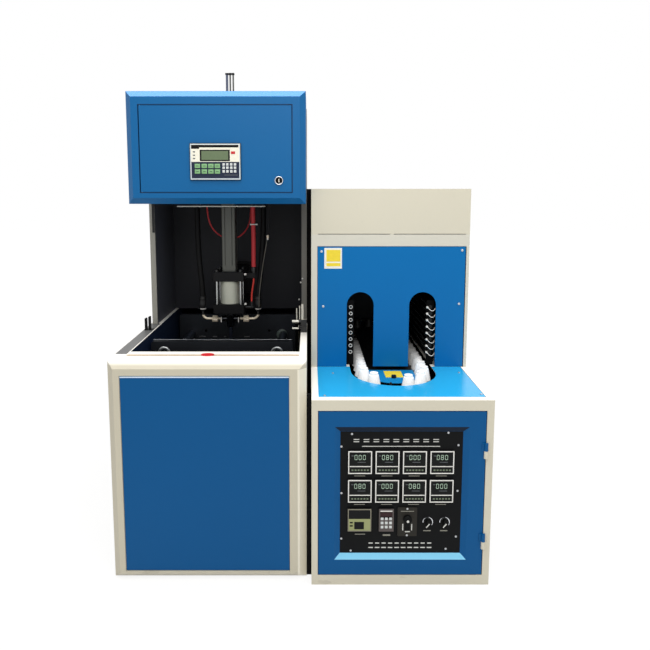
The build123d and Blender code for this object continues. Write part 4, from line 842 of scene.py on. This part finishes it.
# %% Flange, seams and trim
back_wall, seam_proud = lining_high.y - 0.0005, 0.0012
flange_front = column_low.y - 0.0004
slabs("ceiling_flange", [((-0.619, flange_front, 1.5135), (-0.180, column_low.y + 0.006, 1.5185))], "label_white",
      edge=0.0005, slot="cream_paint")
flange_screws = [(-0.60 + 0.1 * n, flange_front, 1.5155) for n in range(5)]
round_head("flange_screw_1", "front", flange_screws, "screw_and_highlight_steel", radius=0.0030, tall=0.0014, sides=12)
slabs("column_trim", [((-0.745, column_low.y - 0.0007, 1.385), (-0.7325, column_low.y + 0.0004, 1.530))],
      "gland_black", slot="dark_paint")
slabs("wall_seams", [((x - 0.001, back_wall - seam_proud, 0.93), (x + 0.001, back_wall, 1.53))
                     for x in (-0.6887, -0.5766, -0.172)]
      + [((-0.700, back_wall - seam_proud, 1.297), (-0.030, back_wall, 1.299))], "seam_grey")
studs = [(x, column_low.y, z) for x, z in ((0.0037, 1.1536), (-0.0044, 1.134), (-0.0127, 1.047))]
round_head("column_stud_1", "front", studs, "nylon_white", radius=0.0042, tall=0.0026, sides=14, socket=0)
print("bay lining from", tuple(round(v, 3) for v in lining_low), "to", tuple(round(v, 3) for v in lining_high))

# %% [markdown]
# ## Air fittings and platens
# The compression fittings on both sides of the manifold have a hexagon union nut, a white sealing ring under the
# black sleeve, and a bar that joins them to the manifold. On the rear platen a green collar locks the right tie bar,
# and four short bright steel strips lie along its front.

# %% Union nuts and sealing rings
nut_reach, bar_reach, ring_reach = 0.0805, 0.0443, 0.143
for side, inward in (("left", 1), ("right", -1)):
    shape(cylinder, vertices=6, radius=0.0152, depth=0.027, location=(axis_x - inward * nut_reach, axis_y, 0.930),
          rotation=(0, math.pi / 2, 0))
    pick_facing((1, 0, 0), (-1, 0, 0))
    bpy.ops.mesh.inset(thickness=0.002, depth=0.001, use_individual=True)
    bevel_all(0.0007, 2)
    done(f"{side}_union_nut", "union_brass")
    bar_x = axis_x - inward * bar_reach
    slabs(f"{side}_union_bar", [((bar_x - 0.0022, axis_y - 0.034, 0.920), (bar_x + 0.0022, axis_y - 0.030, 0.947))],
          "nylon_white", edge=0.0008)
    ring_round(f"{side}_sealing_ring", "top", (axis_x - inward * ring_reach, axis_y, 0.985), "nylon_white",
               radius=0.0135, thick=0.0024)
plugs = [(-0.2848, front("seal_cylinder_heads"), z) for z in (1.1740, 1.0220)]
round_head("port_plug_1", "front", plugs, "nylon_white", radius=0.0060, tall=0.004, sides=16, socket=0)
print("union nuts", round(axis_x - nut_reach, 4), round(axis_x + nut_reach, 4), "port plugs", len(plugs))

# %% Platen marks and collar
platen_front = front("rear_platen")
marks = [(-0.590, -0.553), (-0.512, -0.487), (-0.449, -0.436), (-0.333, -0.302)]
slabs("platen_marks", [((left, platen_front - 0.0006, 0.763), (right, platen_front + 0.0004, 0.769))
                       for left, right in marks], "screw_and_highlight_steel", "rear_clamp")
round_head("tie_bar_collar", "front", [(-0.1175, platen_front, 0.780)], "collar_green", "rear_clamp", radius=0.030,
           tall=0.012, sides=36, socket=0.25)
# Painted highlight: a pale steel strip along the front platen's top edge.
front_low, front_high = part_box("front_platen")
slabs("platen_edge_highlight", [((front_low.x + 0.001, front_high.y - 0.0028, front_high.z - 0.0004),
                       (front_high.x - 0.001, front_high.y, front_high.z + 0.0006))], "screw_and_highlight_steel", "front_clamp")
print("platen front at", round(platen_front, 4))

# %% [markdown]
# ## Operator panel
# The panel is a framed screen over a flat key pad, behind one printed sheet. Its face is built from thin plates, each
# in the colour of its printed area: a dark strip on top, a pale field round the screen, a navy field below, and
# raised key caps. Places are given as shares of the panel, as they are read off a picture of it.

# %% Operator panel: fields
operator_low, operator_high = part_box("operator_panel")
head_door_low, head_door_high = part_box("head_door")
operator_width, operator_height = operator_high.x - operator_low.x, operator_high.z - operator_low.z


def on_operator(left, right, top, bottom, proud, sunk=0.0):
    """A block on the panel's face. Left, right, top and bottom run from 0 to 1 over the panel."""
    x0, x1 = (operator_low.x + share * operator_width for share in (left, right))
    z0, z1 = (operator_high.z - share * operator_height for share in (bottom, top))
    return (x0, operator_low.y - proud, z0), (x1, operator_low.y + sunk, z1)


slabs("operator_frame", [on_operator(0.012, 0.988, 0.018, 0.982, 0.0006, 0.001)], "pad_silver", "head_door")
slabs("operator_field", [on_operator(0.03, 0.97, 0.042, 0.505, 0.0009, 0.001)], "pad_cream", "head_door")
slabs("operator_strip", [on_operator(0.035, 0.955, 0.05, 0.118, 0.0014),
                         on_operator(0.035, 0.19, 0.118, 0.155, 0.0014)], "panel_black", "head_door")
slabs("operator_pad", [on_operator(0.035, 0.965, 0.505, 0.945, 0.0012, 0.001)], "pad_navy", "head_door")
slabs("operator_bezel", [on_operator(0.20, 0.785, 0.18, 0.485, 0.0018)], "panel_black", "head_door", edge=0.0008)
slabs("operator_screen", [on_operator(0.232, 0.755, 0.212, 0.452, 0.0024)], "screen_green", "head_door")
print("operator panel", round(operator_width, 3), "by", round(operator_height, 3))


# %% Operator panel: keys
def key_block(name, wide, tall, lefts, tops, finish):
    """Raised keys in rows and columns: one is shaped at the first left and top, and copied to the others."""
    left, top = lefts[0], tops[0]
    key = slabs(name, [on_operator(left, left + wide, top, top + tall, 0.003)], finish, "head_door", edge=0.0008,
                segments=2)
    return copy_to(key, [((x - left) * operator_width, 0, (top - z) * operator_height) for x in lefts for z in tops])


green_lefts, green_tops = (0.098, 0.232, 0.360, 0.487), (0.557, 0.707)
keys = key_block("green_key_1", 0.105, 0.115, green_lefts, green_tops, "key_green")
keys += key_block("white_key_1", 0.048, 0.068, (0.638, 0.710, 0.786, 0.860), (0.54, 0.63, 0.727), "key_white")
slabs("operator_marks", [on_operator(0.808, 0.888, 0.225, 0.292, 0.002)], "mark_red", "head_door")
slabs("green_key_prints", [on_operator(left + 0.028, left + 0.078, top + 0.05, top + 0.066, 0.0032)
                           for left in green_lefts for top in green_tops], "key_print", "head_door", edge=0.00005)
slabs("operator_prints", [on_operator(0.065, 0.11, 0.22 + n * 0.09, 0.25 + n * 0.09, 0.0016) for n in range(3)]
      + [on_operator(0.67, 0.935, 0.85, 0.865, 0.0018)], "print_grey", "head_door")
print("keys", keys)

# %% [markdown]
# ## Door trim and lock
# A dark blue gasket fills most of the gap round the head door, and its dark colour is painted shadow, so the gap reads
# as a line and not as a slit. It leaves room for the door's edge at the hinge side. The control door has a thinner one
# on its three free sides, and black strips of painted shadow run down the right edge of the oven's plate and along the
# shelf's. The lock is a black barrel in a thin chrome bezel, with a pale key slot. The front panel of the base is
# folded over at its top, and that lip is painted pale blue as a highlight.

# %% Gaskets and beads
door_gap, thin, wide = 0.005, 0.0014, 0.0034
left, right = head_door_low.x - door_gap, head_door_high.x + door_gap
below, above = head_door_low.z - door_gap, head_door_high.z + door_gap
near, far = head_door_low.y + 0.0012, head_door_low.y + 0.0032
# Painted shadow: the gaskets' dark blue stands for the shadow in the gaps round the doors.
slabs("door_gasket_shadow", [((left, near, below), (left + thin, far, above)),
                      ((right - wide, near, below), (right, far, above)),
                      ((left + thin, near, below), (right - wide, far, below + wide)),
                      ((left + thin, near, above - wide), (right - wide, far, above))], "gasket_blue")
recess_depth, gasket_width, control_gap, hinge_end = 0.012, 0.0016, 0.003, door_high.x - 0.03
base_front = panel_low.y - recess_depth
left, below, above = door_low.x - control_gap, door_low.z - control_gap, door_high.z + control_gap
near, far = base_front + 0.0012, base_front + 0.0032
slabs("control_gasket_shadow", [((left, near, below), (left + gasket_width, far, above)),
                         ((left + gasket_width, near, below), (hinge_end, far, below + gasket_width)),
                         ((left + gasket_width, near, above - gasket_width), (hinge_end, far, above))], "gasket_blue",
      slot="black_rubber")
shelf_low, shelf_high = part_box("heater_shelf")
plate_low, plate_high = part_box("oven_front_plate")
# Painted shadow: black strips stand for the shadow gaps beside the shelf and the oven's plate.
strip_foot, strip_reach = 0.0002, 0.0026
slabs("shadow_gap_strips", [((shelf_high.x - strip_foot, shelf_low.y + 0.001, shelf_low.z - 0.0002),
                      (shelf_high.x + strip_reach, shelf_high.y, shelf_high.z - 0.0004)),
                     ((plate_high.x - strip_foot, front("oven_cabinet") - 0.0003, plate_low.z + 0.001),
                      (plate_high.x + strip_reach, plate_low.y + 0.0005, plate_high.z))], "gland_black",
      slot="black_rubber")
print("gaps", door_gap, control_gap)

# %% Lock bezel, key slot and lip
lock_x, lock_z = -0.092, 1.637
ring_round("lock_bezel", "front", (lock_x, front("lock_ring") - 0.0002, lock_z), "bright_chrome", "head_door",
           radius=0.0166, thick=0.0017)
slabs("lock_slot", [((lock_x - 0.0017, front("lock_plug") - 0.0008, lock_z - 0.0074),
                     (lock_x + 0.0017, front("lock_plug") + 0.0002, lock_z + 0.0074))], "label_white", "lock_plug",
      slot="chrome")
# Painted highlight: the lip along the top of the base's front panel is painted pale blue.
lip_low, lip_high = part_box("blower_front_panel")
slabs("front_panel_lip_highlight", [((lip_low.x, lip_low.y - 0.0008, lip_high.z - 0.0072),
                           (lip_high.x, lip_low.y + 0.0006, lip_high.z - 0.0014))], "lip_blue", edge=0.0004)
print("lock at", lock_x, lock_z)

# %% [markdown]
# ## Temperature controllers
# Eight framed controllers sit in the black panel in two rows. One is modelled whole: a white frame, a black window, a
# printed strip and a row of small keys. The others are copies of it. Only the digits differ, so a nought and an eight
# are drawn once from seven bars, as in a lit display, and copied to their places.

# %% A plate on a vertical face
controllers_low, controllers_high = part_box("temperature_controllers")
bezel_face = controllers_low.y
first_in, column_pitch, print_proud = 0.048, 0.1089, 0.0004
columns = [controllers_low.x + first_in + n * column_pitch for n in range(4)]
rows = [controllers_high.z - first_in, controllers_low.z + first_in]


def on_face(x, z, wide, tall, face, proud, sunk=0.0004):
    """A plate about a point of a front face, from the given depth in it to the given height above it."""
    return (x - wide / 2, face - proud, z - tall / 2), (x + wide / 2, face + sunk, z + tall / 2)


def on_bezel(x, z, wide, tall, proud):
    """A plate on the face of the framed instruments."""
    return on_face(x, z, wide, tall, bezel_face, proud)


def printed(x, z, wide, tall):
    """A plain bar printed on the black panel."""
    return on_face(x, z, wide, tall, panel_low.y, print_proud)


def framed(x, z, wide, tall, rim, proud):
    """Four bars round the window of an instrument."""
    return [on_bezel(x, z + side * (tall - rim) / 2, wide, rim, proud) for side in (-1, 1)] + [
        on_bezel(x + side * (wide - rim) / 2, z, rim, tall - 2 * rim, proud) for side in (-1, 1)]


print("columns", [round(x, 3) for x in columns], "rows", [round(z, 3) for z in rows])

# %% One controller and its copies
x, z = columns[0], rows[0]
frame_side, window_side, window_proud = 0.0945, 0.0865, 0.0008
window_face = bezel_face - window_proud
controller_parts = [
    slabs("controller_frame_1", framed(x, z, frame_side, frame_side, 0.0042, 0.0016), "frame_white", "control_door",
          edge=0.0006, segments=2),
    slabs("controller_window_1", [on_bezel(x, z, window_side, window_side, window_proud)], "window_black",
          "control_door"),
    slabs("controller_strip_1", [on_face(x, z - 0.0165, 0.084, 0.0034, window_face, 0.0006)], "frame_white",
          "control_door"),
    slabs("controller_lines_1", [on_face(x + 0.006, z + 0.0015, 0.032, 0.0020, window_face, print_proud),
                                 on_face(x - 0.030, z + 0.028, 0.009, 0.0028, window_face, print_proud)],
          "print_grey", "control_door"),
    slabs("controller_keys_1", [on_face(x - 0.03 + key * 0.0122, z - 0.0315, 0.0075, 0.0058, window_face, 0.0010)
                                for key in range(6)], "key_pale", "control_door"),
    slabs("controller_name_1", [printed(x, z - 0.0605, 0.044, 0.0030)], "print_dim", "control_door")]
places = [(x, 0, z) for z in rows for x in columns]
print("controllers", {copy_to(part, places) for part in controller_parts})

# %% Digits
segments = {"0": "abcdef", "8": "abcdefg"}


def seven_segment(digit, x, z, tall, stroke=0.0016):
    """The bars of one lit digit about a point of a window."""
    half = tall / 2
    bars = {"a": (0, half, half, stroke), "g": (0, 0, half, stroke), "d": (0, -half, half, stroke),
            "f": (-half / 2, half / 2, stroke, half), "b": (half / 2, half / 2, stroke, half),
            "e": (-half / 2, -half / 2, stroke, half), "c": (half / 2, -half / 2, stroke, half)}
    return [on_face(x + right, z + over, wide * 0.84, high * 0.84 + stroke * 0.1, window_face, 0.0005)
            for right, over, wide, high in (bars[letter] for letter in segments[digit])]


spots = {"0": [], "8": []}
for row, z in enumerate(rows):
    for column, x in enumerate(columns):
        for place, digit in enumerate("080" if (row + column) % 2 else "000"):
            spots[digit].append((x + (place - 1) * 0.0165, 0, z + 0.0215))
for digit, places in spots.items():
    lit = slabs(f"digit_{digit}_1", seven_segment(digit, places[0][0], places[0][2], 0.0185), "digit_green",
                "control_door", edge=0.0001)
    print("digits", digit, copy_to(lit, places))

# %% [markdown]
# ## Meter, timer and speed plate
# Below the controllers sit a meter with a pale green field, a timer with a small red window and nine square keys, and
# a speed plate with a knob and a rocker. They are single pieces, so each is built in place from a few plates.

# %% Meter
meter_x, meter_z, meter_wide = 0.24105, 0.2762, 0.0870
slabs("meter_frame", framed(meter_x, meter_z, frame_side, frame_side, 0.0038, 0.0016), "meter_rim", "control_door",
      edge=0.0006, segments=2)
slabs("meter_window", [on_bezel(meter_x, 0.3004, meter_wide, 0.0376, window_proud)], "window_black", "control_door")
slabs("meter_field", [on_bezel(meter_x, 0.2573, meter_wide, 0.0486, 0.0010)], "meter_olive", "control_door")
slabs("meter_readout", [((0.220, bezel_face - 0.0016, 0.238), (0.259, bezel_face - 0.001, 0.2695))]
      + [on_bezel(meter_x - 0.033, 0.2665 - n * 0.014, 0.012, 0.006, 0.0016) for n in range(2)], "window_black",
      "control_door")
print("meter at", meter_x, meter_z)

# %% Timer
timer_x, timer_z = 0.34895, 0.2762
key_columns, key_rows = (0.332, 0.349, 0.366), (0.2824, 0.2648, 0.2472)
slabs("timer_case", framed(timer_x, timer_z, 0.0595, 0.0955, 0.0052, 0.0014)
      + [on_bezel(timer_x, timer_z - 0.018, 0.0495, 0.0500, 0.0006)], "timer_grey", "control_door")
slabs("timer_window", [((0.3266, bezel_face - 0.0012, 0.2917), (0.3732, bezel_face + 0.0004, 0.3108))], "window_red",
      "control_door")
slabs("timer_top", [on_bezel(timer_x, 0.3148, 0.0480, 0.0044, 0.0012)], "frame_white", "control_door")
timer_key = slabs("timer_key_1", [on_bezel(key_columns[0], key_rows[0], 0.0110, 0.0110, 0.0018)], "key_white",
                  "control_door", edge=0.0012, segments=2)
print("timer keys", copy_to(timer_key, [(x, 0, z) for z in key_rows for x in key_columns]))
slabs("lower_names", [printed(0.2443, 0.211, 0.0415, 0.0034), printed(0.3518, 0.207, 0.0305, 0.0070)], "print_dim",
      "control_door")

# %% Speed plate
speed_face = front("speed_controller")
switch_x, _, switch_z = middle("speed_switch")
slabs("speed_guides", [on_face(switch_x + side * 0.0180, switch_z, 0.0040, 0.027, speed_face, 0.0008)
                       for side in (-1, 1)]
      + [on_face(switch_x + 0.001, 0.2257, 0.020, 0.0040, speed_face, 0.0008)], "print_white", "control_door")
slabs("speed_line", [on_face(0.434, 0.3125, 0.052, 0.0028, speed_face, 0.0005)], "print_dim", "control_door")
round_head("speed_pointer", "front", [(0.4343, front("speed_knob"), 0.2766)], "print_white", "speed_knob",
           radius=0.0052, tall=0.0008, sides=16, socket=0)
round_head("speed_screw_1", "front", [(0.4333, speed_face, 0.3237), (0.4326, speed_face, 0.2110)], "screw_and_highlight_steel",
           "control_door", radius=0.0040, tall=0.0022)
print("speed plate's face", round(speed_face, 4))

# %% [markdown]
# ## Selector switches
# Each selector is a black knob in a chromed bezel ring. Only the arc of the ring that shows a highlight is modelled,
# from the left over the top to the lower right, so the arc stands as a painted highlight. It is made by spinning a
# small square profile through that arc. A white bar across each knob is a painted highlight on its handle's edge.


# %% Chrome arcs
def chrome_arc(name, centre, radius, from_angle, to_angle):
    """A bar with a square profile, spun about a knob's axis."""
    x, y, z = centre
    rising = math.radians(from_angle)
    shape(bpy.ops.mesh.primitive_plane_add, size=0.0034, location=(x + radius, y, z))
    bpy.ops.mesh.select_all(action="SELECT")
    mesh = bmesh.from_edit_mesh(bpy.context.object.data)
    bmesh.ops.rotate(mesh, cent=(x, y, z), matrix=Matrix.Rotation(-rising, 3, "Y"), verts=mesh.verts)
    bmesh.update_edit_mesh(bpy.context.object.data)
    bpy.ops.mesh.spin(steps=28, angle=math.radians(to_angle - from_angle), center=(x, y, z), axis=(0, 1, 0))
    bpy.ops.mesh.select_all(action="SELECT")
    bpy.ops.mesh.remove_doubles(threshold=0.00001)
    bpy.ops.mesh.normals_make_consistent(inside=False)
    done(name, "bright_chrome", "control_door")


for name in ("left_selector", "right_selector"):
    x, _, z = middle(name)
    # Painted highlight: the chrome arc is only the lit part of the bezel ring.
    chrome_arc(f"{name}_arc", (x, panel_low.y - 0.0017, z), 0.0192, -40, 185)
    # Painted highlight: a white bar on the edge of the knob's handle.
    shape(cube, size=1, location=(x - 0.003, front(name) - 0.0006, z - 0.006), scale=(0.0042, 0.0012, 0.021),
          rotation=(0, math.radians(40), 0))
    bevel_all(0.0005, 2)
    done(f"{name}_mark", "print_white", name)
    slabs(f"{name}_name", [printed(x - 0.002, 0.226, 0.030, 0.0042)], "print_dim", "control_door")
    print(name, "at", round(x, 4), round(z, 4))

# %% [markdown]
# ## Screws and prints of the control panel
# Ten round-headed screws hold the panel. Its title and footer stay plain printed bars, so the panel says nothing.

# %% Panel screws
screw_spots = [(0.2086, 0.6347), (0.5911, 0.6397), (0.1668, 0.5824), (0.6323, 0.5883), (0.168, 0.3872),
               (0.6338, 0.3969), (0.1684, 0.1929), (0.6325, 0.2016), (0.207, 0.141), (0.5926, 0.1488)]
screws = round_head("panel_screw_1", "front", [(x, panel_low.y, z) for x, z in screw_spots], "screw_and_highlight_steel",
                    "control_door", radius=0.0042, tall=0.0022)
print("panel screws", screws)
title = [printed(0.2265 + n * 0.0396, 0.6066 + side * 0.0046, 0.0225, 0.0034) for n in range(9) for side in (-1, 1)]
title += [printed(0.4045, 0.5828, 0.311, 0.0030)]
footer = [printed(0.288 + n * 0.0264, z, wide, 0.0046) for z, wide in ((0.1725, 0.0165), (0.1535, 0.0185))
          for n in range(10)]
slabs("panel_bars", title + footer, "print_white", "control_door")

# %% [markdown]
# ## Plates, label and screws of the cabinets
# The oven's front plate and the shelf are held by round-headed screws. A bare white label with a yellow field sits at
# the plate's top left, a bare yellow plate lies on the tray, and a bare red badge bridges the groove in the rim. The
# groove's floor is painted tan as shade.

# %% Cabinet screws
oven_screws = [(x, oven_front, z) for x, z in [(0.0948, 1.3183), (0.7351, 1.3237), (0.103, 1.0643), (0.7273, 1.0765)]]
sheet_screw = {"finish": "screw_and_highlight_steel", "radius": 0.0054, "tall": 0.0026}
round_head("oven_screw_1", "front", oven_screws, **sheet_screw)
shelf_screws = [(x, y, shelf_high.z) for x, y in [(0.1452, -0.4795), (0.1008, -0.7668), (0.7301, -0.7519),
                                                  (0.712, -0.470)]]
round_head("shelf_screw_1", "top", shelf_screws, "screw_and_highlight_steel", radius=0.0056, tall=0.0026)
print("screws of the oven", len(oven_screws), "and of the shelf", len(shelf_screws))

# %% Label, yellow plate, badge and groove
tray_top, printed_front = 0.762, oven_front - 0.0009
slabs("blank_label", [((0.1076, oven_front - 0.0006, 1.2397), (0.1877, oven_front + 0.0004, 1.3345))], "label_white")
slabs("label_field", [((0.117, printed_front, 1.272), (0.181, oven_front, 1.326)),
                      ((0.117, printed_front, 1.2506), (0.181, oven_front, 1.2655))], "plate_yellow")
slabs("tray_plate", [((0.382, -0.482, tray_top), (0.462, -0.392, tray_top + 0.0014))], "plate_yellow", edge=0.0004)
shape(cylinder, vertices=48, radius=0.027, depth=0.0030, location=(-0.380, -0.6755, base_high.z + 0.0014),
      scale=(1, 0.70, 1))
pick_facing(up)
bpy.ops.mesh.inset(thickness=0.002, depth=0.0006)
bpy.ops.mesh.inset(thickness=0.001, depth=-0.0004)
done("rim_badge", "badge_red")
# Painted shade: a tan strip on the groove's floor.
slabs("groove_shade", [((base_low.x + 0.056, -0.6882, base_high.z - 0.005),
                         (base_high.x - 0.031, -0.6628, base_high.z - 0.004))], "groove_tan")
print("badge on the rim at", round(base_high.z, 3))

# %% [markdown]
# One carrier of the loop stands bare in front, as on the real machine. Its white disc and dark spindle show there.

# %% Bare carrier
bare_x, bare_y = 0.3884, -0.591
shape(cylinder, vertices=28, radius=0.0105, depth=0.006, location=(bare_x, bare_y, 0.751))
pick_facing(up)
bpy.ops.mesh.inset(thickness=0.0015, depth=0.0015)
done("bare_carrier_disc", "nylon_white")
round_head("bare_carrier_spindle", "top", [(bare_x, bare_y, 0.754)], "gland_black", radius=0.0055, tall=0.018,
           socket=0.3, slot="steel")
print("bare carrier at", bare_x, bare_y)

# %% [markdown]
# ## Back of the machine
# The photograph doesn't show the back, so it gets only what such cabinets have there: removable sheets held by rows of
# screws, and pressed louvres that let the warm air out. One louvre is a bar whose upper edge is rounded wide, as the
# press leaves it, and whose lower edge is left sharp for the slot under it.

# %% Screws of the rear sheets
rear_spots = [(heater_low.x + inset, heater_high.y, z) for heights in ((0.03, 0.39, 0.75), (0.81, 1.09, 1.365))
              for inset in (0.022, 0.36, 0.698) for z in heights]
rear_spots += [(x, column_high.y, z) for x in (column_low.x + 0.03, -0.366, column_high.x - 0.03)
               for z in (0.985, 1.46, 1.955)]
print("rear screws", round_head("rear_screw_1", "back", rear_spots, **sheet_screw, sides=16))


# %% Louvres
def louvres(name, place, wide, finish, count, pitch=0.022):
    """Pressed louvres below each other on a back face: rounded above, open below."""
    x, y, z = place
    proud, tall = 0.0060, 0.0110
    shape(cube, size=1, location=(x, y + proud / 2, z), scale=(wide, proud, tall))
    pick_facing(up)
    bpy.ops.mesh.bevel(offset=0.0045, segments=4, affect="EDGES")
    pick_facing(down)
    bpy.ops.mesh.inset(thickness=0.0012, depth=0.0)
    bpy.ops.mesh.inset(thickness=0.0001, depth=-proud)
    print(name, copy_to(done(name, finish), [(x, y, z - pitch * n) for n in range(count)]))


louvres("heater_louvre_1", (0.408, heater_high.y, 0.66), 0.20, "cream_lid", 7)
louvres("oven_louvre_1", (0.408, heater_high.y, 1.30), 0.20, "cream_lid", 7)
louvres("column_louvre_1", (-0.366, column_high.y, 1.86), 0.24, "column_coat", 6)

# %% [markdown]
# ## Lamp ends and leads
# Each quartz lamp ends in a ceramic ring with a dark core. On the right-hand rack a small white connector sits beside
# each lamp, and its lead dips and curves out to the wall, which is what catches the light through the right slot.

# %% Lamp rings
lamp_front, lamp_pitch, lamp_reach = front("heating_lamps"), 0.0305, 0.185
oven_middle = middle("heating_lamps")[0]
lamp_rows = [0.842 + lamp_pitch * n for n in range(8)]
left_lamps, right_lamps = oven_middle - lamp_reach, oven_middle + lamp_reach
places = [(left_lamps, lamp_front, z) for z in lamp_rows]
ring = ring_round("lamp_ring_1", "front", places[0], "nylon_white", radius=0.0072, thick=0.0015, around=20, section=8)
print("lamp rings", copy_to(ring, places))
places = [(right_lamps - 0.015, lamp_front - 0.002, z) for z in lamp_rows]
round_head("lamp_connector_1", "front", places, "nylon_white", radius=0.0052, tall=0.006, sides=14, socket=0)
print("connectors", len(places), "from", round(lamp_rows[0], 3), "to", round(lamp_rows[-1], 3))

# %% One lead and its copies
z = lamp_rows[0]
lead = line_through("lamp_lead_1", 0.0016, [(right_lamps + right, lamp_front - out, z - fall) for right, out, fall in (
    (-0.015, 0.004, 0), (-0.012, 0.014, 0.002), (0.002, 0.018, 0.016), (0.018, 0.014, 0.012), (0.022, 0.004, 0.004))],
    resolution=5)
bpy.ops.object.select_all(action="DESELECT")
lead.select_set(True)
bpy.context.view_layer.objects.active = lead
bpy.ops.object.convert(target="MESH")
lead = done("lamp_lead_1", "nylon_white")
print("leads", copy_to(lead, [(0, 0, z + lamp_pitch * n) for n in range(8)]))

# %% [markdown]
# ## Light
# One broad lamp overhead makes the tops of the cabinets brighter than their fronts, as a workshop ceiling does. A
# wide soft one stands high in front of the machine, so its upper parts get a little more light than its foot.

# %% Lamps
scene = bpy.context.scene
scene.view_settings.view_transform = "Standard"


def broad_lamp(name, place, aim, wide, tall, power):
    lamp = bpy.data.objects.new(name, bpy.data.lights.new(name, "AREA"))
    scene.collection.objects.link(lamp)
    lamp.data.shape, lamp.data.size, lamp.data.size_y, lamp.data.energy = "RECTANGLE", wide, tall, power
    lamp.location = place
    lamp.rotation_euler = (Vector(aim) - Vector(place)).to_track_quat("-Z", "Y").to_euler()


broad_lamp("ceiling", (0, -0.6, 4.4), (0, -0.1, 0), wide=4.5, tall=4.0, power=205)
broad_lamp("front_fill", (0.5, -3.6, 3.5), (0, 0, 1.3), wide=3.4, tall=2.6, power=62)
print("lamps", sorted(bpy.data.lights.keys()))

# %% [markdown]
# ## White room and floor
# The room behind the machine is white for the camera, and for mirrors and glass too, but it lights the machine only
# plainly. Light Path tells which kind of ray asks. The floor does the same, and it turns to plain white with
# distance, so that it meets the background without a line while the machine keeps its soft shadow near its feet.


# %% Rays that see white
def seen_white(tree):
    """The greatest of three kinds of ray: from the camera, off a mirror, and through glass."""
    rays = tree.nodes.new("ShaderNodeLightPath")
    kinds = ["Is Camera Ray", "Is Glossy Ray", "Is Transmission Ray"]
    shown = rays.outputs[kinds[0]]
    for kind in kinds[1:]:
        either = tree.nodes.new("ShaderNodeMath")
        either.operation = "MAXIMUM"
        tree.links.new(shown, either.inputs[0])
        tree.links.new(rays.outputs[kind], either.inputs[1])
        shown = either.outputs[0]
    return shown


world = bpy.data.worlds.new("white_room")
scene.world = world
world.use_nodes = True
world.node_tree.nodes.clear()
lit, seen, blend, out = (world.node_tree.nodes.new("ShaderNode" + kind)
                         for kind in ("Background", "Background", "MixShader", "OutputWorld"))
lit.inputs["Color"].default_value = seen.inputs["Color"].default_value = (1, 1, 1, 1)
lit.inputs["Strength"].default_value = 0.42
for source, target in [(seen_white(world.node_tree), blend.inputs[0]), (lit.outputs[0], blend.inputs[1]),
                       (seen.outputs[0], blend.inputs[2]), (blend.outputs[0], out.inputs[0])]:
    world.node_tree.links.new(source, target)
print("world", world.name)

# %% Floor
bpy.ops.object.select_all(action="DESELECT")
bpy.ops.mesh.primitive_plane_add(size=40, location=(0, 0, -0.0005))
ground = bpy.context.object
ground.name = "ground"
ground_finish = Finish("ground", (0.86, 0.86, 0.85), 0.85)
glow, blend = (ground_finish.tree.nodes.new("ShaderNode" + kind) for kind in ("Emission", "MixShader"))
glow.inputs["Color"].default_value = (1, 1, 1, 1)
glow.inputs["Strength"].default_value = 1.04
shadow_ends, all_white, first_share = 1.3, 3.6, 0.82
far = ground_finish.node("ShaderNodeVectorMath", {"operation": "LENGTH"}, {0: ground_finish.place()}, output=1)
whitening = ground_finish.node("ShaderNodeMapRange",
                               inputs={0: far, 1: shadow_ends, 2: all_white, 3: first_share, 4: 1.0})
ground_finish.feed(blend.inputs[0], Signal(ground_finish, seen_white(ground_finish.tree)) * whitening)
for source, target in [(ground_finish.shader.outputs[0], blend.inputs[1]), (glow.outputs[0], blend.inputs[2]),
                       (blend.outputs[0], ground_finish.output.inputs[0])]:
    ground_finish.tree.links.new(source, target)
ground.data.materials.append(ground_finish.material)
print("floor", ground.name)
